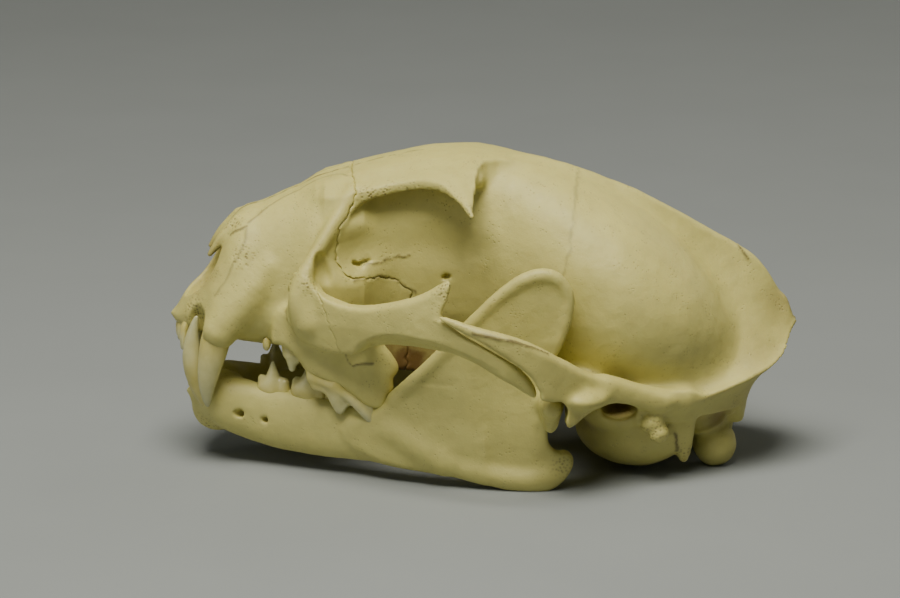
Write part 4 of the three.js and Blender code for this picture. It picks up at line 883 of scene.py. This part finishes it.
skull_bone = dry_bone("dry_bone_skull", "ddd46a", "c7be53", "988c30")
jaw_bone = dry_bone("dry_bone_jaw", "d9d16c", "c0b84f", "948c2f")
enamel = tooth_enamel("tooth_enamel")

# Bones: the face, the braincase with its arches and ear capsules, the cheekbones and the jaws
face = cranium((-73, 0, 14), (-14, 33, 72), FINE)
face.limit(lambda x, l, z: behind_face(x, l, z) + SEAM_HALF, SEAM_EDGE)
face.limit(lambda x, l, z: cheek_seam(x, l, z) - CHEEK_LAP, CHEEK_EDGE)
bone_piece("face_bone", face, 0, ["muzzle"], skull_bone)

case = cranium((-36, 0, -1), (74, 49, 77), COARSE)
case.limit(lambda x, l, z: SEAM_HALF - behind_face(x, l, z), SEAM_EDGE)
case.limit(lambda x, l, z: np.where(x > SUTURE_END, -FAR, cheek_seam(x, l, z) + SEAM_HALF), SEAM_EDGE)
bone_piece("braincase_bone", case, 0, [
    "braincase", "cheek_arch_left", "cheek_arch_right", "ear_capsule_left", "ear_capsule_right",
], skull_bone)

cheek = cranium((-43, 14, 20), (16, 49, 54), FINE)
cheek.value[cheek.axes[0] > CHEEK_FREE] = FAR
cheek.add(cheek_shape, 0.3)
cheek.limit(lambda x, l, z: -cheek_seam(x, l, z) - CHEEK_LAP, CHEEK_EDGE)
jaw = lower_jaw(FINE)
for side, word in ((-1, "left"), (1, "right")):
    bone_piece(f"cheekbone_{word}_bone", cheek, side, [f"cheekbone_{word}"], skull_bone)
    bone_piece(f"jaw_{word}_bone", jaw, side, [f"lower_jaw_{word}"], jaw_bone)


def finish_tooth(piece, neck, tip):
    """Enamel on a tooth, with its height from neck to tip for the material."""
    mesh = piece.data
    points = of_mesh(mesh, "vertices", "co")
    keep_attribute(mesh, "tip", np.clip((points[:, 2] - neck) / (tip - neck), 0, 1))
    mesh.vertices.foreach_set("co", ((points + SHIFT) * MM).ravel())
    mesh.update()
    mesh.materials.clear()
    mesh.materials.append(enamel)
    alone(piece)
    bpy.ops.object.shade_smooth()
    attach(piece, "root")


def ringed_tooth(name, side, rings, neck):
    """A tooth extruded from its root through rings: x, out, z, half length and half width."""
    x, out, z, long, wide = rings[0]
    bpy.ops.object.select_all(action="DESELECT")
    bpy.ops.mesh.primitive_circle_add(vertices=12, radius=1.0, fill_type="NGON", location=(x, side * out, z))
    piece = bpy.context.object
    piece.name = name
    bpy.ops.object.transform_apply(location=True, rotation=False, scale=False)
    bpy.ops.object.mode_set(mode="EDIT")
    bpy.ops.mesh.select_all(action="SELECT")
    bpy.ops.transform.resize(value=(long, wide, 1), center_override=(x, side * out, z))
    for ring in rings[1:]:
        move = (ring[0] - x, side * (ring[1] - out), ring[2] - z)
        bpy.ops.mesh.extrude_region_move(TRANSFORM_OT_translate={"value": move})
        centre = (ring[0], side * ring[1], ring[2])
        bpy.ops.transform.resize(value=(ring[3] / long, ring[4] / wide, 1), center_override=centre)
        x, out, z, long, wide = ring
    bpy.ops.mesh.select_all(action="SELECT")
    bpy.ops.mesh.normals_make_consistent(inside=False)
    bpy.ops.object.mode_set(mode="OBJECT")
    rounder = piece.modifiers.new("rounder", "SUBSURF")
    rounder.levels = rounder.render_levels = 3
    bpy.ops.object.modifier_apply(modifier=rounder.name)
    finish_tooth(piece, neck, rings[-1][2])


def ridged_tooth(name, side, low, high, forms, neck, tip):
    """A cheek tooth of joined cusps and blades."""
    block = Block(low, high, TOOTH)
    for shape, k in forms:
        block.add(shape, k)
    finish_tooth(skin(name, block, side), neck, tip)


# Canines: oval, longer from front to back than across
UPPER_CANINE = [
    (-57.6, 10.6, 38.5, 2, 1.8), (-58.8, 11, 36, 2.9, 2.5), (-60.2, 12.2, 32.3, 3.75, 3.1),
    (-61.1, 12.5, 27.4, 3.45, 2.85), (-62.2, 12.4, 22.9, 2.75, 2.3), (-62.7, 12, 18.5, 1.75, 1.5),
    (-62.6, 11.7, 15.4, 0.85, 0.75), (-62.5, 11.6, 14.5, 0.3, 0.3),
]
LOWER_CANINE = [
    (-60.4, 6, 10.5, 1.8, 1.6), (-61.8, 6.4, 13, 2.6, 2.2), (-64.6, 7.2, 19, 2.95, 2.5),
    (-66.3, 8.1, 25, 2.45, 2.1), (-66.1, 8.6, 30.5, 1.5, 1.35), (-65.2, 8.85, 34.2, 0.8, 0.7),
    (-64.9, 8.9, 35.2, 0.3, 0.3),
]
# Incisors: place, out, half width, length below or above the gum, then the same for the lower row
UPPER_INCISORS = [(-69, 1.45, 0.95, 3.6), (-68.6, 3.75, 1.05, 3.9), (-67.9, 6.25, 1.35, 5.4)]
LOWER_INCISORS = [(-66.8, 1.05, 0.75, 2.4), (-66.7, 2.75, 0.8, 2.6), (-66.4, 4.4, 0.85, 2.9)]
for side, word in ((-1, "left"), (1, "right")):
    ringed_tooth(f"upper_canine_{word}", side, UPPER_CANINE, 31)
    ringed_tooth(f"lower_canine_{word}", side, LOWER_CANINE, 19)
    for number, (x, out, wide, long) in enumerate(UPPER_INCISORS, 1):
        ringed_tooth(f"upper_incisor_{number}_{word}", side, [
            (x + 2.6, out * 0.94, 35.4, 0.8, 0.7), (x + 0.6, out, 33, 1.1, wide * 0.85),
            (x, out, 31.2, 1.15, wide), (x - 0.15, out, 32.6 - long, 0.85, wide * 0.9),
            (x - 0.25, out, 31.9 - long, 0.4, wide * 0.5),
        ], 32)
    for number, (x, out, wide, long) in enumerate(LOWER_INCISORS, 1):
        ringed_tooth(f"lower_incisor_{number}_{word}", side, [
            (x + 1.8, out, 14.8, 0.7, 0.6), (x + 0.6, out, 17.2, 0.85, wide * 0.9),
            (x, out, 18.8, 0.85, wide), (x - 0.3, out, 18.6 + long * 0.8, 0.6, wide * 0.85),
            (x - 0.35, out, 18.6 + long, 0.3, wide * 0.5),
        ], 18.4)
    ridged_tooth(f"upper_premolars_{word}", side, (-52, 9, 22), (-38, 19, 36), [
        (egg((-49.1, 11.6, 29.3), (0.95, 0.9, 1.6)), 0.3),
        (rod([(-43.3, 14, 31, 1.7), (-43.3, 14.6, 27.6, 1.75), (-43.3, 15, 24.6, 0.8)]), 0.6),
        (rod([(-41.9, 14.9, 30, 1.1), (-41.9, 15.1, 26.9, 0.9)]), 1.2),
        (rod([(-44.7, 14.2, 30, 1), (-44.6, 14.4, 28, 0.8)]), 1),
    ], 30, 24)
    ridged_tooth(f"upper_carnassial_{word}", side, (-43, 14, 11), (-22, 26, 30), [
        (plate([
            (-40, 26), (-39.6, 22.6), (-38.4, 20.6), (-36.9, 20.2), (-35.6, 19.4), (-34.6, 17.6),
            (-33.4, 15.9), (-32.3, 15.4), (-31.4, 16.2), (-30.2, 17.4), (-28.8, 17), (-27.6, 15.4),
            (-26.2, 13.8), (-25.2, 14), (-24.7, 16.2), (-26, 20), (-31, 24), (-37, 27),
        ], [(-39.6, 17.6), (-32, 19.6), (-24.6, 21.2)], [(-39.6, 1.5), (-32, 1.3), (-24.6, 0.9)], 1), 0.3),
        (rod(eased([
            (-39.2, 18.4, 23.4, 0.7), (-35.8, 19.7, 22.4, 0.9), (-32.6, 20.7, 21, 1), (-29.4, 21.5, 18.6, 1),
            (-26.8, 21.9, 15.9, 1), (-25.8, 21.9, 14.6, 0.8),
        ])), 0.7),
        (rod([(-33.4, 19.6, 22, 2), (-32.8, 19.9, 18.6, 1.5), (-32.5, 20, 16.5, 0.9)]), 0.9),
        (rod([(-38.3, 18, 23, 1.3), (-38.2, 18, 21.6, 0.9)]), 0.8),
    ], 23, 14)
    ridged_tooth(f"lower_premolars_{word}", side, (-53, 5, 14), (-34, 17, 28), [
        (egg((-47.7, 9.7, 18.6), (3.6, 1.75, 2.7)), 0.3),
        (rod([(-47.8, 9.5, 18, 1.9), (-47.8, 9.5, 21.6, 1.35), (-47.8, 9.4, 24.2, 0.5)]), 1),
        (rod([(-50.2, 8.7, 18, 1.2), (-50.3, 8.6, 20.4, 0.95)]), 0.8),
        (rod([(-45.2, 10.6, 18, 1.4), (-45.1, 10.6, 19.9, 1.1)]), 0.9),
        (egg((-39.7, 12.7, 19), (3.9, 1.9, 2.9)), 0.3),
        (rod([(-39.5, 12.6, 18, 2), (-39.5, 12.6, 22, 1.5), (-39.5, 12.5, 24.8, 0.5)]), 1),
        (rod([(-42.3, 11.7, 18, 1.4), (-42.3, 11.7, 20.6, 1.1)]), 0.8),
        (rod([(-36.9, 13.6, 18, 1.4), (-36.8, 13.6, 21, 1)]), 0.9),
    ], 17.5, 25)
    ridged_tooth(f"lower_carnassial_{word}", side, (-38, 11, 13), (-23, 20, 27), [
        (plate([
            (-35.4, 15), (-35.3, 20.3), (-33.6, 22.8), (-32.7, 23.8), (-31.4, 21.6), (-30.3, 20.2),
            (-29.4, 21.2), (-27.4, 23.8), (-26.4, 22.6), (-25.5, 19.8), (-25.5, 15),
        ], [(-35.2, 14), (-25.4, 16.9)], [(-35.2, 1.3), (-25.4, 1.1)], 0.9), 0.3),
    ], 18, 23.5)

# Floor of matt grey board
bpy.ops.object.select_all(action="DESELECT")
bpy.ops.mesh.primitive_grid_add(x_subdivisions=2, y_subdivisions=2, size=6)
floor = bpy.context.object
floor.name = "floor"
board, tree = empty_material("matt_board")
speckle = add(tree, "ShaderNodeTexNoise", {
    "Vector": add(tree, "ShaderNodeTexCoord").outputs["Object"], "Scale": per_mm(40), "Detail": 3.0,
}).outputs["Fac"]
paint = add(tree, "ShaderNodeBsdfPrincipled", {
    "Base Color": layered(tree, linear("8b908d"), (speckle, 0, 1, 1, linear("868b88"))), "Roughness": 0.9,
})
add(tree, "ShaderNodeOutputMaterial", {"Surface": paint.outputs[0]})
floor.data.materials.append(board)


def softbox(name, place, target, across, watts, tint="fffaf2"):
    """Square studio light that points at a target."""
    lamp = bpy.data.lights.new(name, "AREA")
    lamp.shape = "SQUARE"
    lamp.size = across
    lamp.energy = watts
    lamp.color = linear(tint)[:3]
    holder = bpy.data.objects.new(name, lamp)
    holder.location = place
    holder.rotation_euler = (Vector(target) - Vector(place)).to_track_quat("-Z", "Y").to_euler()
    bpy.context.scene.collection.objects.link(holder)


middle = (0.0, 0.0, 0.035)
softbox("overhead", (-0.08, -0.27, 0.76), middle, 0.45, 9.5)
softbox("fill", (-0.9, -0.7, 0.35), middle, 0.8, 1.6, "eef3ff")
softbox("rim", (0.7, 0.6, 0.6), middle, 0.6, 1.4)
world = bpy.data.worlds.new("studio")
world.use_nodes = True
world.node_tree.nodes["Background"].inputs["Color"].default_value = linear("b8bab6")
world.node_tree.nodes["Background"].inputs["Strength"].default_value = 0.14
bpy.context.scene.world = world

# Camera: from the left side, a little above, as far back as the photograph's flat perspective
ELEVATION = math.radians(15)
DISTANCE = 1.3            # metres from the aim to the camera
FRAME_WIDTH = 0.2041      # metres that the picture takes in at the aim
AIM = Vector((-0.0076, 0, 0.0363))
lens = bpy.data.cameras.new("camera")
lens.sensor_width = 36
lens.lens = lens.sensor_width * DISTANCE / FRAME_WIDTH
camera = bpy.data.objects.new("camera", lens)
back = Vector((0, -math.cos(ELEVATION), math.sin(ELEVATION)))
camera.location = AIM + DISTANCE * back
camera.rotation_euler = back.to_track_quat("Z", "Y").to_euler()
bpy.context.scene.collection.objects.link(camera)
bpy.context.scene.camera = camera
